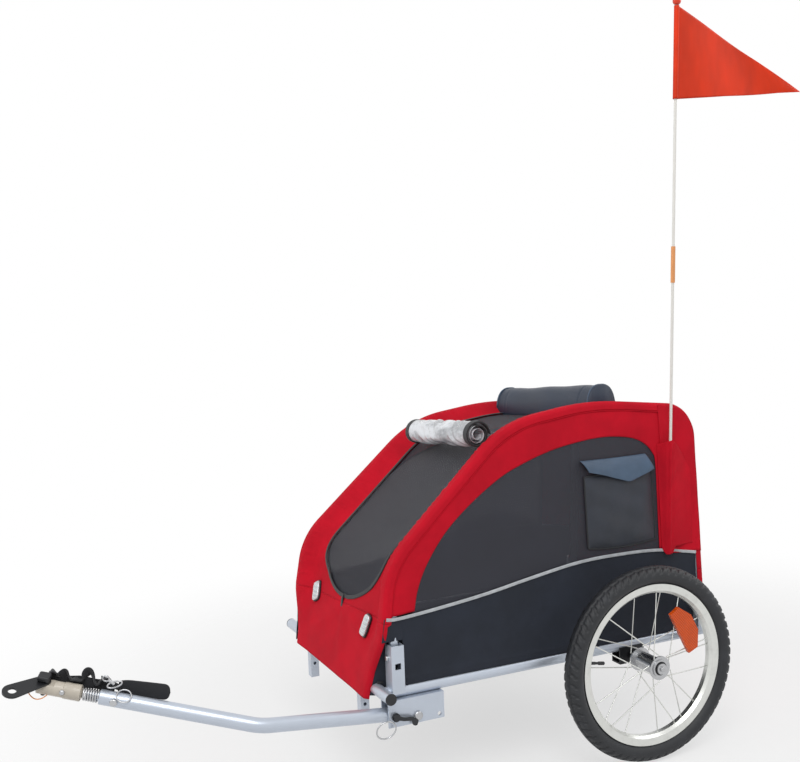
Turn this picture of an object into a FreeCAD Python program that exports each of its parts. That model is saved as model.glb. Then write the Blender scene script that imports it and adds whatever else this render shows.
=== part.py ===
import FreeCAD, Part
import math
import os
from FreeCAD import Vector as V

# Dog bike trailer. Millimetres, +X forward, +Y to the trailer's left, +Z up.
# The origin lies on the ground, midway between the wheels, under the axle line.

# Clearances
SLIP = 0.05            # radial, running fits
JOIN = 0.05            # between welded or seated faces
CLEAR = 0.3            # between soft pieces and what carries them

# Wheels
TYRE_OD = 400.0
TYRE_WIDTH = 42.0
TYRE_WALL = 3.5
TYRE_TREAD = 6.0
TYRE_SECTION = 35.0    # from the rim's edge to the tread
TRACK = 622.0          # between the wheels' middle planes
RIM_WIDTH = 26.0
RIM_DEPTH = 19.0
RIM_WALL = 2.0
SPOKE_COUNT = 20
SPOKE_DIA = 2.2
SPOKE_LEAN = 42.0      # degrees between a spoke's hub end and its rim end
HUB_NOSE = 4.0         # of the hub beyond each flange's middle
HUB_SHELL_DIA = 35.0
FLANGE_DIA = 48.0
FLANGE_SPACING = 64.0
FLANGE_THICK = 3.0
BEARING_OD = 28.0
BEARING_WIDTH = 8.0
AXLE_DIA = 12.0
AXLE_HEAD_DIA = 22.0
AXLE_HEAD_THICK = 4.0
BUTTON_DIA = 10.0
BUTTON_LENGTH = 14.0
BUTTON_PROUD = 4.0
BUTTON_TRAVEL = 3.0
REFLECTOR_THICK = 8.0
REFLECTOR_AT = (-71.0, 69.5)   # X and Z from the axle
REFLECTOR_TURN = 152.6         # degrees, the way its outer edge faces
REFLECTOR_HALF = [(-21.0, 48.0), (3.0, 50.0), (21.0, 19.0)]   # outwards and sideways from its middle
REFLECTOR_IN = 8.8             # of its back from the flange's middle

# Chassis. Heights here and below are over the rail axes, unless they say otherwise.
TUBE_OD = 22.0
TUBE_WALL = 1.6
RAIL_INSET = 73.0      # of the rail axes from the wheels' middle planes
RAIL_RISE = 20.0       # of the rail axes over the axle
FRONT_TUBE_X = 557.0
REAR_TUBE_X = -150.0
RAIL_REAR_X = -196.0
FRONT_OVERHANG = 35.0  # the front tube's ends stand this far out of the rail axes
PLUG_FLANGE = 2.5
PLUG_DEPTH = 12.0
BRACKET_LENGTH = 60.0
BRACKET_WALL = 3.0
BRACKET_DROP = 15.0    # below the axle line
RECEIVER_OD = 17.0
RECEIVER_LENGTH = 40.0
FLOOR_THICK = 4.0
FLOOR_MARGIN = 12.0
SOCKET_WIDTH = 18.0
SOCKET_WALL = 2.0
SOCKET_IN = 100.0      # from the rail axis
SOCKET_BOTTOM = -80.0
SOCKET_HOLE_DIA = 7.0
SOCKET_HOLE = -50.0

# Folding side arches and the posts that carry them
ARCH_OD = 18.0
ARCH_WALL = 1.5
ARCH_LEAN = 4.0        # degrees, inwards
LEFT_PIVOT = 66.0
RIGHT_PIVOT = 32.0     # lower, so that the folded sides stack; the right side is as tall as the left one, so it stands lower
ARCH_FOOT = 12.0       # of the leg below its pivot
POST_FRONT_X = 532.0
POST_WIDTH = 26.0
POST_WALL = 2.5
POST_ABOVE_PIVOT = 26.0
POST_WINDOW = 12.0
PIVOT_BOLT_DIA = 6.0
PIVOT_HEAD_DIA = 11.0
PIVOT_HEAD_THICK = 4.5

# Cover: the outlines are rounded polygons in the XZ plane
COVER_WALL = 2.0
MESH_WALL = 1.0
COVER_POINTS = [(580.0, -20.0), (537.5, 240.0), (266.0, 484.0), (60.0, 511.0), (-194.0, 483.0), (-194.0, 20.0)]
COVER_RADII = [150.0, 250.0, 600.0, 72.0]
COVER_LIFT = 1.5       # over the arches, because the cover slants from the left one down to the right one
SIDE_INSET = 5.0       # of the folding side panels from the cover's outline
STRIP_FRONT_X = -104.0  # the rear cover wraps round the sides as far as here
PANEL_GAP = 3.0
LOWER_PANEL_OUT = 5.0  # from the rail axis
ROOF_SPLIT_X = 262.0
WINDOW_POINTS = [(479.0, 114.0), (462.0, 212.0), (240.0, 402.0), (40.0, 442.0), (-96.0, 420.0), (-96.0, 150.0)]
WINDOW_RADII = [60.0, 200.0, 500.0, 50.0]
SEAM_POINTS = [(519.0, 132.0), (425.0, 137.0), (106.0, 183.0), (-168.0, 173.0)]
LEG_PANEL = 98.0       # the side panel's lower edge beside the front leg
DOOR_IN = 88.0         # of its upper corners from the rail axes
DOOR_HALF_LOW = 45.0
DOOR_TOP = 432.0
DOOR_WIDE = 210.0
DOOR_LOW = 137.0
DOOR_OVERLAP = 6.0
LAMP_WIDTH = 28.0      # front reflectors
LAMP_HEIGHT = 44.0
LAMP_THICK = 9.0
LAMP_IN = 91.0         # from the rail axis
LAMP_UP = 108.0
POCKET_X = (-75.0, 84.0)
POCKET_UP = (210.0, 352.0)
POCKET_THICK = 10.0
FLAP_UP = (332.0, 390.0)
FLAP_THICK = 1.6

# Rolls on the roof
RAIN_ROLL_R = 19.0
RAIN_ROLL_TURNS = 3
RAIN_ROLL_WALL = 3.0
RAIN_ROLL_GAP = 1.5    # between turns
RAIN_ROLL_IN = (103.0, 60.0)   # of its right and left ends from the rail axes
RAIN_ROLL_X = 292.0    # where it lies on the front slope
ROOF_ROLL_LENGTH = 365.0
ROOF_ROLL_WIDTH = 70.0
ROOF_ROLL_HEIGHT = 57.0   # over the cloth, which sinks between the arches
ROOF_ROLL_X = 17.0
ROOF_ROLL_IN = 235.5   # of its middle from the left rail axis
ROOF_ROLL_TURN = -87.4
ROOF_ROLL_PITCH = 4.7

# Flag
POLE_DIA = 6.0
POLE_FOOT_AT = (-101.5, 180.0)   # X and height of its lower end
POLE_LENGTH = 1126.0
POLE_TILT = 2.2        # degrees, backwards
FERRULE_DIA = 9.0
FERRULE_LENGTH = 74.0
FERRULE_AT = 564.0     # along the pole, to the ferrule's lower end
POCKET_SLEEVE_OD = 13.0
POCKET_SLEEVE_LENGTH = 241.0
FLAG_HEIGHT = 186.0
FLAG_LENGTH = 333.0
FLAG_TIP_RISE = 26.0
FLAG_THICK = 1.0
FLAG_HEM_DIA = 10.0
FLAG_BELOW_TOP = 4.0
FINIAL_DIA = 17.0

# Tow bar and hitch
BAR_OD = 27.0
BAR_WALL = 2.0
BAR_PITCH = 6.5        # degrees, upwards from the bracket
BAR_REAR = 16.0        # behind the pivot bolt
BAR_FIRST = 304.0
BAR_SECOND = 289.0
BAR_TURN_IN = 22.7     # degrees, second run towards the middle
BAR_TURN_UP = 13.8     # degrees, second run upwards
BAR_BEND_R = 90.0
TOW_PIVOT_X = 495.0
TOW_PIVOT_UP = -48.0
TOW_PIN_AHEAD = 46.0   # from the pivot bolt to the lock pin
TOW_BOLT_DIA = 10.0
TOW_PIN_DIA = 8.0
CHANNEL_WALL = 3.5
CHANNEL_FRONT = 60.0   # ahead of the pivot bolt
CHANNEL_REAR = 56.0
CHANNEL_DROP = 14.0    # below the pivot bolt
BAR_SIDE_GAP = 0.5
BOLT_HEAD_THICK = 6.0
PIN_HEAD_DIA = 16.0
PIN_HEAD_THICK = 5.0
SPIGOT_DIA = 15.0
SPIGOT_LENGTH = 26.0
SPRING_OD = 24.0
SPRING_WIRE = 3.2
SPRING_TURNS = 6.5
SPRING_LENGTH = 32.0
SLEEVE_OD = 27.0
SLEEVE_LENGTH = 68.0
SLEEVE_FLAT = 30.0     # length of the plate's seat on the sleeve
SLEEVE_SEAT = 10.5     # height of that seat over the sleeve's axis
PLATE_THICK = 4.0
PLATE_PIN_R = 12.0
PLATE_EYE_R = 17.0
PLATE_REACH = 60.0     # from the hitch pin to the axle hole
PLATE_HOLE_DIA = 15.0
PLATE_ROLL = -18.0     # degrees, about the sleeve's axis
PLATE_SWING = 45.0     # degrees, to the near side
HITCH_PIN_DIA = 8.0
HITCH_PIN_HEAD = (22.0, 20.0, 11.0)
HITCH_PIN_SET = 10.0   # from the sleeve's front end to the pin
STRAP_WIDTH = 25.0
STRAP_THICK = 3.0
STRAP_SIDE = 18.5      # from the sleeve's axis, on the far side
STRAP_WAVES = [(98.0, 30.0), (90.0, 35.0), (76.0, 29.0), (54.0, 38.0), (34.0, 30.0), (12.0, 40.0), (-8.0, 12.6), (-30.0, 12.6)]
STRAP_RADII = [6.0, 9.0, 12.0, 12.0, 12.0, 8.0]
STRAP_END = (-124.0, -36.0)
STRAP_END_LOW = 2.0
RING_R = 13.0
RING_WIRE = 2.6
RING_AT = -42.0
RING_LEAN = 35.0

WHEEL_Y = TRACK / 2
AXLE_Z = TYRE_OD / 2
RIM_EDGE_R = TYRE_OD / 2 - TYRE_SECTION
HUB_LENGTH = FLANGE_SPACING + 2 * HUB_NOSE
REFLECTOR_OUT = FLANGE_SPACING / 2 - REFLECTOR_IN
RAIL_Y = WHEEL_Y - RAIL_INSET
RAIL_Z = AXLE_Z + RAIL_RISE
SOCKET_Y = RAIL_Y - SOCKET_IN
SOCKET_BOTTOM_Z = RAIL_Z + SOCKET_BOTTOM
SOCKET_HOLE_Z = RAIL_Z + SOCKET_HOLE
LEFT_PIVOT_Z = RAIL_Z + LEFT_PIVOT
RIGHT_PIVOT_Z = RAIL_Z + RIGHT_PIVOT
COVER_OUTLINE = [(x, RAIL_Z + z) for x, z in COVER_POINTS]
WINDOW_OUTLINE = [(x, RAIL_Z + z) for x, z in WINDOW_POINTS]
SEAM_LINE = [(x, RAIL_Z + z) for x, z in SEAM_POINTS]
LEG_PANEL_Z = RAIL_Z + LEG_PANEL
DOOR_HALF_TOP = RAIL_Y - DOOR_IN
DOOR_TOP_Z = RAIL_Z + DOOR_TOP
DOOR_WIDE_Z = RAIL_Z + DOOR_WIDE
DOOR_LOW_Z = RAIL_Z + DOOR_LOW
LAMP_Y = RAIL_Y - LAMP_IN
LAMP_Z = RAIL_Z + LAMP_UP
POCKET_Z = (RAIL_Z + POCKET_UP[0], RAIL_Z + POCKET_UP[1])
FLAP_Z = (RAIL_Z + FLAP_UP[0], RAIL_Z + FLAP_UP[1])
RAIN_ROLL_Y = (RAIN_ROLL_IN[0] - RAIL_Y, RAIL_Y - RAIN_ROLL_IN[1])
ROOF_ROLL_Y = RAIL_Y - ROOF_ROLL_IN
POLE_FOOT = (POLE_FOOT_AT[0], RAIL_Z + POLE_FOOT_AT[1])
TOW_PIVOT_Z = RAIL_Z + TOW_PIVOT_UP
ARCH_R = ARCH_OD / 2
PANEL_IN = ARCH_R + CLEAR
PANEL_OUT = PANEL_IN + COVER_WALL
ARCH_INSET = COVER_WALL + CLEAR + ARCH_R
POST_REAR_X = COVER_OUTLINE[-1][0] + ARCH_INSET
SIDE_DROP = LEFT_PIVOT_Z - RIGHT_PIVOT_Z
ROOF_HALF = RAIL_Y - (max(z for x, z in COVER_OUTLINE) - LEFT_PIVOT_Z) * math.tan(math.radians(ARCH_LEAN))
FAR = 2000.0


def cylinder(radius, start, end):
    """Solid cylinder from one point to another."""
    axis = end - start
    return Part.makeCylinder(radius, axis.Length, start, axis)


def tube(outer_d, inner_d, start, end):
    """Straight tube from one point to another."""
    return cylinder(outer_d / 2, start, end).cut(cylinder(inner_d / 2, start, end))


def box(low, high):
    """Box between two corners."""
    return Part.makeBox(high[0] - low[0], high[1] - low[1], high[2] - low[2], V(*low))


def revolved(profile, centre, axis):
    """Full turn of a closed outline of (radius, along) pairs about an axis through centre along Y."""
    points = [V(r, w, 0) for r, w in profile]
    face = Part.Face(Part.makePolygon(points + points[:1]))
    solid = face.revolve(V(0, 0, 0), V(0, 1, 0), 360)
    solid.Placement = FreeCAD.Placement(centre, FreeCAD.Rotation(V(0, 1, 0), axis))
    return solid


def offset_polygon(points, inset):
    """Open polygon moved inwards (to its left when walked from front to rear) by inset."""
    lines = []
    for (ax, az), (bx, bz) in zip(points, points[1:]):
        length = math.hypot(bx - ax, bz - az)
        nx, nz = -(bz - az) / length, (bx - ax) / length
        lines.append((ax + nx * inset, az + nz * inset, bx - ax, bz - az))
    first = (lines[0][0], lines[0][1])
    last = lines[-1]
    moved = [first]
    for (px, pz, dx, dz), (qx, qz, ex, ez) in zip(lines, lines[1:]):
        step = ((qx - px) * ez - (qz - pz) * ex) / (dx * ez - dz * ex)
        moved.append((px + dx * step, pz + dz * step))
    moved.append((last[0] + last[2], last[1] + last[3]))
    return moved


def rounded_edges(points, radii):
    """Edges of an open path of V points whose inner corners have the given radii."""
    edges = []
    start = points[0]
    for before, corner, after, radius in zip(points, points[1:], points[2:], radii):
        back = (before - corner).normalize()
        ahead = (after - corner).normalize()
        half = back.getAngle(ahead) / 2
        reach = radius / math.tan(half)
        middle = (back + ahead).normalize()
        low = corner + back * reach
        high = corner + ahead * reach
        top = corner + middle * (radius / math.sin(half) - radius)
        edges.append(Part.LineSegment(start, low).toShape())
        edges.append(Part.Arc(low, top, high).toShape())
        start = high
    edges.append(Part.LineSegment(start, points[-1]).toShape())
    return edges


def outline_face(points, radii, inset):
    """Face in the XZ plane enclosed by an outline, inset, and its straight closing line."""
    path = [V(x, 0, z) for x, z in offset_polygon(points, inset)]
    edges = rounded_edges(path, [radius - inset for radius in radii])
    edges.append(Part.LineSegment(path[-1], path[0]).toShape())
    return Part.Face(Part.Wire(edges))


def slab(face, low_y, high_y):
    """An XZ face given thickness between two Y values."""
    moved = face.copy()
    moved.translate(V(0, low_y, 0))
    return moved.extrude(V(0, high_y - low_y, 0))


def slant(y):
    """Rise of the cover at a distance across: none much at the left arch, and the right side's drop at the right arch."""
    return COVER_LIFT + SIDE_DROP * (y - ROOF_HALF) / (2 * ROOF_HALF)


def slanted(face, low_y, high_y):
    """An XZ face carried across the trailer along the cover's slant."""
    moved = face.copy()
    moved.translate(V(0, low_y, slant(low_y)))
    return moved.extrude(V(0, high_y - low_y, slant(high_y) - slant(low_y)))


def swept(edges, radius):
    """Round bar along tangent edges."""
    path = Part.Wire(edges)
    start = path.Edges[0]
    ring = Part.Circle(start.valueAt(start.FirstParameter), start.tangentAt(start.FirstParameter), radius)
    return path.makePipeShell([Part.Wire(ring.toShape())], True, False)


def leaned(shape, side, pivot_z):
    """A left-hand shape leaned inwards about its pivot, on the given side and at that side's pivot height."""
    turned = shape.copy()
    turned.rotate(V(0, RAIL_Y, LEFT_PIVOT_Z), V(1, 0, 0), ARCH_LEAN)
    turned = turned if side > 0 else turned.mirror(V(0, 0, 0), V(0, 1, 0))
    turned.translate(V(0, 0, pivot_z - LEFT_PIVOT_Z))
    return turned


def bolt(diameter, head_d, head_t, start, end):
    """Bolt with a round head beyond start and a round nut beyond end."""
    along = (end - start).normalize()
    shank = cylinder(diameter / 2, start, end)
    head = cylinder(head_d / 2, start - along * head_t, start)
    nut = cylinder(head_d / 2, end, end + along * head_t)
    head = head.makeFillet(head_t * 0.5, [head.Edges[2] if head.Edges[2].Curve.Center.distanceToPoint(start) > 1
                                          else head.Edges[0]])
    return shank.fuse([head, nut]).removeSplitter()


def least_gap(first, second):
    """Least distance between points spread over two runs of edges."""
    def spread(edges):
        return [point for edge in edges for point in edge.discretize(12)]
    return min(p.distanceToPoint(q) for p in spread(first) for q in spread(second))


def export(node, shape):
    shape.exportStep("parts/" + node + ".step")


# Wheels

def tyre(centre, axis):
    """Open casing with square shoulders; its beads sit between the rim's walls."""
    outer = TYRE_OD / 2
    half = TYRE_WIDTH / 2
    bead = RIM_WIDTH / 2 - RIM_WALL - CLEAR
    seat = RIM_EDGE_R - RIM_DEPTH + RIM_WALL * 4
    skin = [(seat, bead - 2), (RIM_EDGE_R + CLEAR, bead), (RIM_EDGE_R + 4, bead + 4), (outer - 20, half),
            (outer - 11, half), (outer - 4, half * 0.66), (outer, half * 0.25)]
    lining = [(seat, bead - 2 - TYRE_WALL), (RIM_EDGE_R + 2, bead - TYRE_WALL), (outer - 20, half - TYRE_WALL),
              (outer - 12, half - TYRE_WALL), (outer - TYRE_TREAD - 3, half * 0.55), (outer - TYRE_TREAD, half * 0.25)]
    right = lining[::-1] + skin
    left = [(r, -w) for r, w in reversed(right)]
    return revolved(right + left, centre, axis)


def rim(centre, axis):
    """Box-section rim, open outwards."""
    half = RIM_WIDTH / 2
    bed = RIM_EDGE_R - RIM_DEPTH
    section = [(RIM_EDGE_R, half - RIM_WALL), (RIM_EDGE_R, half), (bed + 5, half * 0.85), (bed, half * 0.4)]
    inner = [(bed + RIM_WALL * 3, half * 0.85 - RIM_WALL)]
    right = inner + section
    left = [(r, -w) for r, w in reversed(right)]
    return revolved(right + left, centre, axis)


def hub(centre, axis):
    """Hub shell with two spoke flanges and a bearing seat at each end."""
    length = axis * (HUB_LENGTH / 2)
    shell = cylinder(HUB_SHELL_DIA / 2, centre - length, centre + length)
    for side in (-1, 1):
        middle = centre + axis * (side * FLANGE_SPACING / 2)
        half = axis * (FLANGE_THICK / 2)
        shell = shell.fuse(cylinder(FLANGE_DIA / 2, middle - half, middle + half))
    bore = BEARING_OD - 6
    shell = shell.cut(cylinder(bore / 2, centre - length, centre + length))
    for side in (-1, 1):
        end = centre + axis * (side * HUB_LENGTH / 2)
        shell = shell.cut(cylinder(BEARING_OD / 2, end, end - axis * (side * BEARING_WIDTH)))
    return shell


def bearings(centre, axis):
    """The hub's two ball bearings, as plain rings."""
    rings = []
    for side in (-1, 1):
        end = centre + axis * (side * HUB_LENGTH / 2)
        inside = end - axis * (side * (BEARING_WIDTH - JOIN))
        rings.append(tube(BEARING_OD - 2 * JOIN, AXLE_DIA + 2 * SLIP, end, inside))
    return Part.makeCompound(rings)


def spokes(centre):
    """Crossed spokes: each leans to its neighbour, the outer ones over the inner ones."""
    wires = []
    per_side = SPOKE_COUNT // 2
    start_r = FLANGE_DIA / 2 + SPOKE_DIA * 0.65
    end_r = RIM_EDGE_R - RIM_DEPTH - SPOKE_DIA * 0.35
    for side in (-1, 1):
        for index in range(per_side):
            lean = SPOKE_LEAN if index % 2 else -SPOKE_LEAN
            angle = math.radians(360 / per_side * index + (180 / per_side if side > 0 else 0))
            far = angle + math.radians(lean)
            layer = SPOKE_DIA * (1.0 if index % 2 else -1.0)
            start = V(start_r * math.cos(angle), side * (FLANGE_SPACING / 2 + layer), start_r * math.sin(angle))
            end = V(end_r * math.cos(far), side * (SPOKE_DIA * 1.6 + layer * 0.8), end_r * math.sin(far))
            wires.append(cylinder(SPOKE_DIA / 2, centre + start, centre + end))
    return Part.makeCompound(wires)


def spoke_reflector(centre, side):
    """Six-sided reflector clipped over the outer spokes."""
    other = [(out, -along) for out, along in reversed(REFLECTOR_HALF)]
    points = [V(out, REFLECTOR_OUT, along) for out, along in REFLECTOR_HALF + other]
    body = Part.Face(Part.makePolygon(points + points[:1])).extrude(V(0, REFLECTOR_THICK, 0))
    body.rotate(V(0, 0, 0), V(0, 1, 0), -REFLECTOR_TURN)
    body.translate(V(REFLECTOR_AT[0], 0, REFLECTOR_AT[1]))
    if side < 0:
        body = body.mirror(V(0, 0, 0), V(0, 1, 0))
    body.translate(centre)
    return body


def axle(side):
    """Quick-release axle: it plugs into the bracket's receiver and its button sits in the head."""
    middle = V(0, side * WHEEL_Y, AXLE_Z)
    out = V(0, side, 0)
    inner = V(0, side * (RAIL_Y - RECEIVER_LENGTH / 2), AXLE_Z)
    hub_out = middle + out * (HUB_LENGTH / 2 + CLEAR)
    hub_in = middle - out * (HUB_LENGTH / 2 + CLEAR)
    receiver_end = V(0, side * (RAIL_Y + RECEIVER_LENGTH / 2 + CLEAR), AXLE_Z)
    shape = cylinder(AXLE_DIA / 2, inner, hub_out)
    shape = shape.fuse(cylinder(AXLE_HEAD_DIA / 2, hub_out, hub_out + out * AXLE_HEAD_THICK))
    shape = shape.fuse(cylinder(RECEIVER_OD / 2, receiver_end, hub_in))
    face = hub_out + out * AXLE_HEAD_THICK
    depth = BUTTON_LENGTH - BUTTON_PROUD + BUTTON_TRAVEL + 1
    return shape.cut(cylinder(BUTTON_DIA / 2 + SLIP, face, face - out * depth))


def release_button(side):
    """Push button in the axle's head."""
    out = V(0, side, 0)
    face = V(0, side * (WHEEL_Y + HUB_LENGTH / 2 + CLEAR + AXLE_HEAD_THICK), AXLE_Z)
    tip = face + out * BUTTON_PROUD
    shape = cylinder(BUTTON_DIA / 2, tip - out * BUTTON_LENGTH, tip)
    rim_edges = [e for e in shape.Edges if e.Closed and abs(e.Curve.Center.y - tip.y) < 0.01]
    return shape.makeFillet(1.5, rim_edges)


# Chassis

def tube_y(x, half, cut=()):
    """Cross tube centred on the middle plane."""
    return tube(TUBE_OD, TUBE_OD - 2 * TUBE_WALL, V(x, -half, RAIL_Z), V(x, half, RAIL_Z))


def rail(side):
    """Side rail, its front end coped to the front cross tube."""
    shape = tube(TUBE_OD, TUBE_OD - 2 * TUBE_WALL, V(RAIL_REAR_X, side * RAIL_Y, RAIL_Z),
                 V(FRONT_TUBE_X, side * RAIL_Y, RAIL_Z))
    cope = cylinder(TUBE_OD / 2 + JOIN, V(FRONT_TUBE_X, -FAR, RAIL_Z), V(FRONT_TUBE_X, FAR, RAIL_Z))
    return shape.cut(cope)


def rear_cross_tube():
    """Cross tube between the rails, its ends coped to them."""
    shape = tube_y(REAR_TUBE_X, RAIL_Y)
    for side in (-1, 1):
        shape = shape.cut(cylinder(TUBE_OD / 2 + JOIN, V(-FAR, side * RAIL_Y, RAIL_Z), V(FAR, side * RAIL_Y, RAIL_Z)))
    return shape


def plug(end, out):
    """Push-in cap for an open tube end."""
    bore = TUBE_OD / 2 - TUBE_WALL - JOIN
    cap = cylinder(TUBE_OD / 2, end + out * JOIN, end + out * (JOIN + PLUG_FLANGE))
    return cap.fuse(cylinder(bore, end - out * PLUG_DEPTH, end + out * JOIN))


def tube_plugs():
    """Caps in the front cross tube's ends and the rails' rear ends."""
    caps = []
    for side in (-1, 1):
        caps.append(plug(V(FRONT_TUBE_X, side * (RAIL_Y + FRONT_OVERHANG), RAIL_Z), V(0, side, 0)))
        caps.append(plug(V(RAIL_REAR_X, side * RAIL_Y, RAIL_Z), V(-1, 0, 0)))
    return Part.makeCompound(caps)


def axle_bracket(side):
    """Steel channel under the rail with the axle's receiver tube through its cheeks."""
    half = TUBE_OD / 2 + JOIN
    low = AXLE_Z - BRACKET_DROP
    shape = box((-BRACKET_LENGTH / 2, RAIL_Y - half - BRACKET_WALL, low),
                (BRACKET_LENGTH / 2, RAIL_Y + half + BRACKET_WALL, RAIL_Z))
    shape = shape.cut(box((-FAR, RAIL_Y - half, low + BRACKET_WALL), (FAR, RAIL_Y + half, FAR)))
    ends = [V(0, RAIL_Y + way * RECEIVER_LENGTH / 2, AXLE_Z) for way in (-1, 1)]
    shape = shape.fuse(cylinder(RECEIVER_OD / 2, *ends)).cut(cylinder(AXLE_DIA / 2 + SLIP, *ends))
    return shape if side > 0 else shape.mirror(V(0, 0, 0), V(0, 1, 0))


def leg_socket(side):
    """Square tube under the front cross tube, with a cross hole for the leg's spring button."""
    half = SOCKET_WIDTH / 2
    inner = half - SOCKET_WALL
    centre_y = side * SOCKET_Y
    shape = box((FRONT_TUBE_X - half, centre_y - half, SOCKET_BOTTOM_Z), (FRONT_TUBE_X + half, centre_y + half, RAIL_Z))
    shape = shape.cut(box((FRONT_TUBE_X - inner, centre_y - inner, 0), (FRONT_TUBE_X + inner, centre_y + inner, FAR)))
    shape = shape.cut(cylinder(TUBE_OD / 2 + JOIN, V(FRONT_TUBE_X, -FAR, RAIL_Z), V(FRONT_TUBE_X, FAR, RAIL_Z)))
    hole = cylinder(SOCKET_HOLE_DIA / 2, V(FRONT_TUBE_X, centre_y - FAR, SOCKET_HOLE_Z),
                    V(FRONT_TUBE_X, centre_y + FAR, SOCKET_HOLE_Z))
    shape = shape.cut(hole)
    return max(shape.Solids, key=lambda solid: solid.Volume)


def floor_panel():
    """Stiff floor, laid on the cross tubes."""
    low = RAIL_Z + TUBE_OD / 2 + CLEAR
    half = RAIL_Y - TUBE_OD / 2 - FLOOR_MARGIN
    return box((RAIL_REAR_X + FLOOR_MARGIN, -half, low), (FRONT_TUBE_X, half, low + FLOOR_THICK))


# Posts and arches

def post(x, side, pivot_z):
    """Channel standing on the rail, open to the inside, with the arch's pivot hole through its cheeks."""
    swing = math.hypot(ARCH_FOOT, ARCH_R) + CLEAR
    outer = RAIL_Y + swing + POST_WALL
    inner = RAIL_Y - ARCH_R - POST_WALL
    half = POST_WIDTH / 2
    top = pivot_z + POST_ABOVE_PIVOT
    shape = box((x - half, inner, RAIL_Z), (x + half, outer, top))
    floor_z = RAIL_Z + TUBE_OD / 2 + POST_WALL
    shape = shape.cut(box((x - half + POST_WALL, -FAR, floor_z), (x + half - POST_WALL, outer - POST_WALL, FAR)))
    shape = shape.cut(cylinder(TUBE_OD / 2 + JOIN, V(-FAR, RAIL_Y, RAIL_Z), V(FAR, RAIL_Y, RAIL_Z)))
    shape = shape.cut(cylinder(PIVOT_BOLT_DIA / 2 + SLIP, V(x - FAR, RAIL_Y, pivot_z), V(x + FAR, RAIL_Y, pivot_z)))
    middle = (floor_z + pivot_z + POST_ABOVE_PIVOT) / 2
    window = box((x - POST_WINDOW / 2, outer - 2 * POST_WALL, middle - POST_WINDOW / 2),
                 (x + POST_WINDOW / 2, FAR, middle + POST_WINDOW / 2))
    shape = shape.cut(window)
    return shape if side > 0 else shape.mirror(V(0, 0, 0), V(0, 1, 0))


def pivot_bolts():
    """Bolts through the four posts, on which the arches turn."""
    shapes = []
    for side, pivot_z in ((1, LEFT_PIVOT_Z), (-1, RIGHT_PIVOT_Z)):
        for x in (POST_FRONT_X, POST_REAR_X):
            half = POST_WIDTH / 2 + JOIN
            shapes.append(bolt(PIVOT_BOLT_DIA, PIVOT_HEAD_DIA, PIVOT_HEAD_THICK,
                               V(x + half, side * RAIL_Y, pivot_z), V(x - half, side * RAIL_Y, pivot_z)))
    return Part.makeCompound(shapes)


def arch(side, pivot_z):
    """Bent tube that carries one side of the cover, drilled at both feet for its pivot bolts."""
    path = offset_polygon(COVER_OUTLINE, ARCH_INSET)
    path[0] = (POST_FRONT_X, LEFT_PIVOT_Z - ARCH_FOOT)
    path[-1] = (POST_REAR_X, LEFT_PIVOT_Z - ARCH_FOOT)
    points = [V(x, RAIL_Y, z) for x, z in path]
    radii = [radius - ARCH_INSET for radius in COVER_RADII]
    edges = rounded_edges(points, radii)
    shape = swept(edges, ARCH_R).cut(swept(edges, ARCH_R - ARCH_WALL))
    shape = shape.cut(cylinder(PIVOT_BOLT_DIA / 2 + SLIP, V(-FAR, RAIL_Y, LEFT_PIVOT_Z), V(FAR, RAIL_Y, LEFT_PIVOT_Z)))
    return leaned(shape, side, pivot_z)


# Cover

def seam_face(lift, to_z):
    """Face between the side seam, raised by lift, and a level line."""
    line = [V(x, 0, z + lift) for x, z in SEAM_LINE]
    corners = [V(SEAM_LINE[-1][0], 0, to_z), V(SEAM_LINE[0][0], 0, to_z)]
    return Part.Face(Part.makePolygon(line + corners + line[:1]))


def window_slab(inset, low_y, high_y):
    """The side window's opening, inset, as a block."""
    return slab(outline_face(WINDOW_OUTLINE, WINDOW_RADII, inset), low_y, high_y)


def side_panel(side, pivot_z):
    """Fabric border between the arch and the side window, hung on the arch's outer side."""
    low = RAIL_Y + PANEL_IN
    high = RAIL_Y + PANEL_OUT
    whole = slab(outline_face(COVER_OUTLINE, COVER_RADII, SIDE_INSET), low, high)
    above = slab(seam_face(PANEL_GAP, FAR), -FAR, FAR)
    beside = box((POST_FRONT_X - POST_WIDTH / 2 - PANEL_GAP, -FAR, LEG_PANEL_Z), (FAR, FAR, FAR))
    shape = whole.common(above.fuse(beside))
    shape = shape.common(box((STRIP_FRONT_X + PANEL_GAP, -FAR, 0), (FAR, FAR, FAR)))
    shape = shape.cut(window_slab(0, low - 1, high + 1))
    return leaned(max(shape.Solids, key=lambda solid: solid.Volume), side, pivot_z)


def side_mesh(side, pivot_z):
    """Mesh in the side window, down to the seam."""
    low = RAIL_Y + PANEL_IN
    shape = window_slab(CLEAR, low, low + MESH_WALL)
    shape = shape.common(slab(seam_face(PANEL_GAP, FAR), -FAR, FAR))
    return leaned(shape, side, pivot_z)


def lower_panel(side, pivot_z):
    """Dark panel between the posts, from the rail up to the seam."""
    low = RAIL_Z + math.sqrt((TUBE_OD / 2) ** 2 - LOWER_PANEL_OUT ** 2) + CLEAR
    reach = POST_WIDTH / 2 + JOIN + PIVOT_HEAD_THICK + CLEAR
    front = POST_FRONT_X - reach
    rear = POST_REAR_X + reach
    inner = RAIL_Y + LOWER_PANEL_OUT
    shape = slab(seam_face(pivot_z - LEFT_PIVOT_Z - PANEL_GAP, low), inner, inner + COVER_WALL)
    shape = shape.common(box((rear, -FAR, low), (front, FAR, FAR)))
    return shape if side > 0 else shape.mirror(V(0, 0, 0), V(0, 1, 0))


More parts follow.
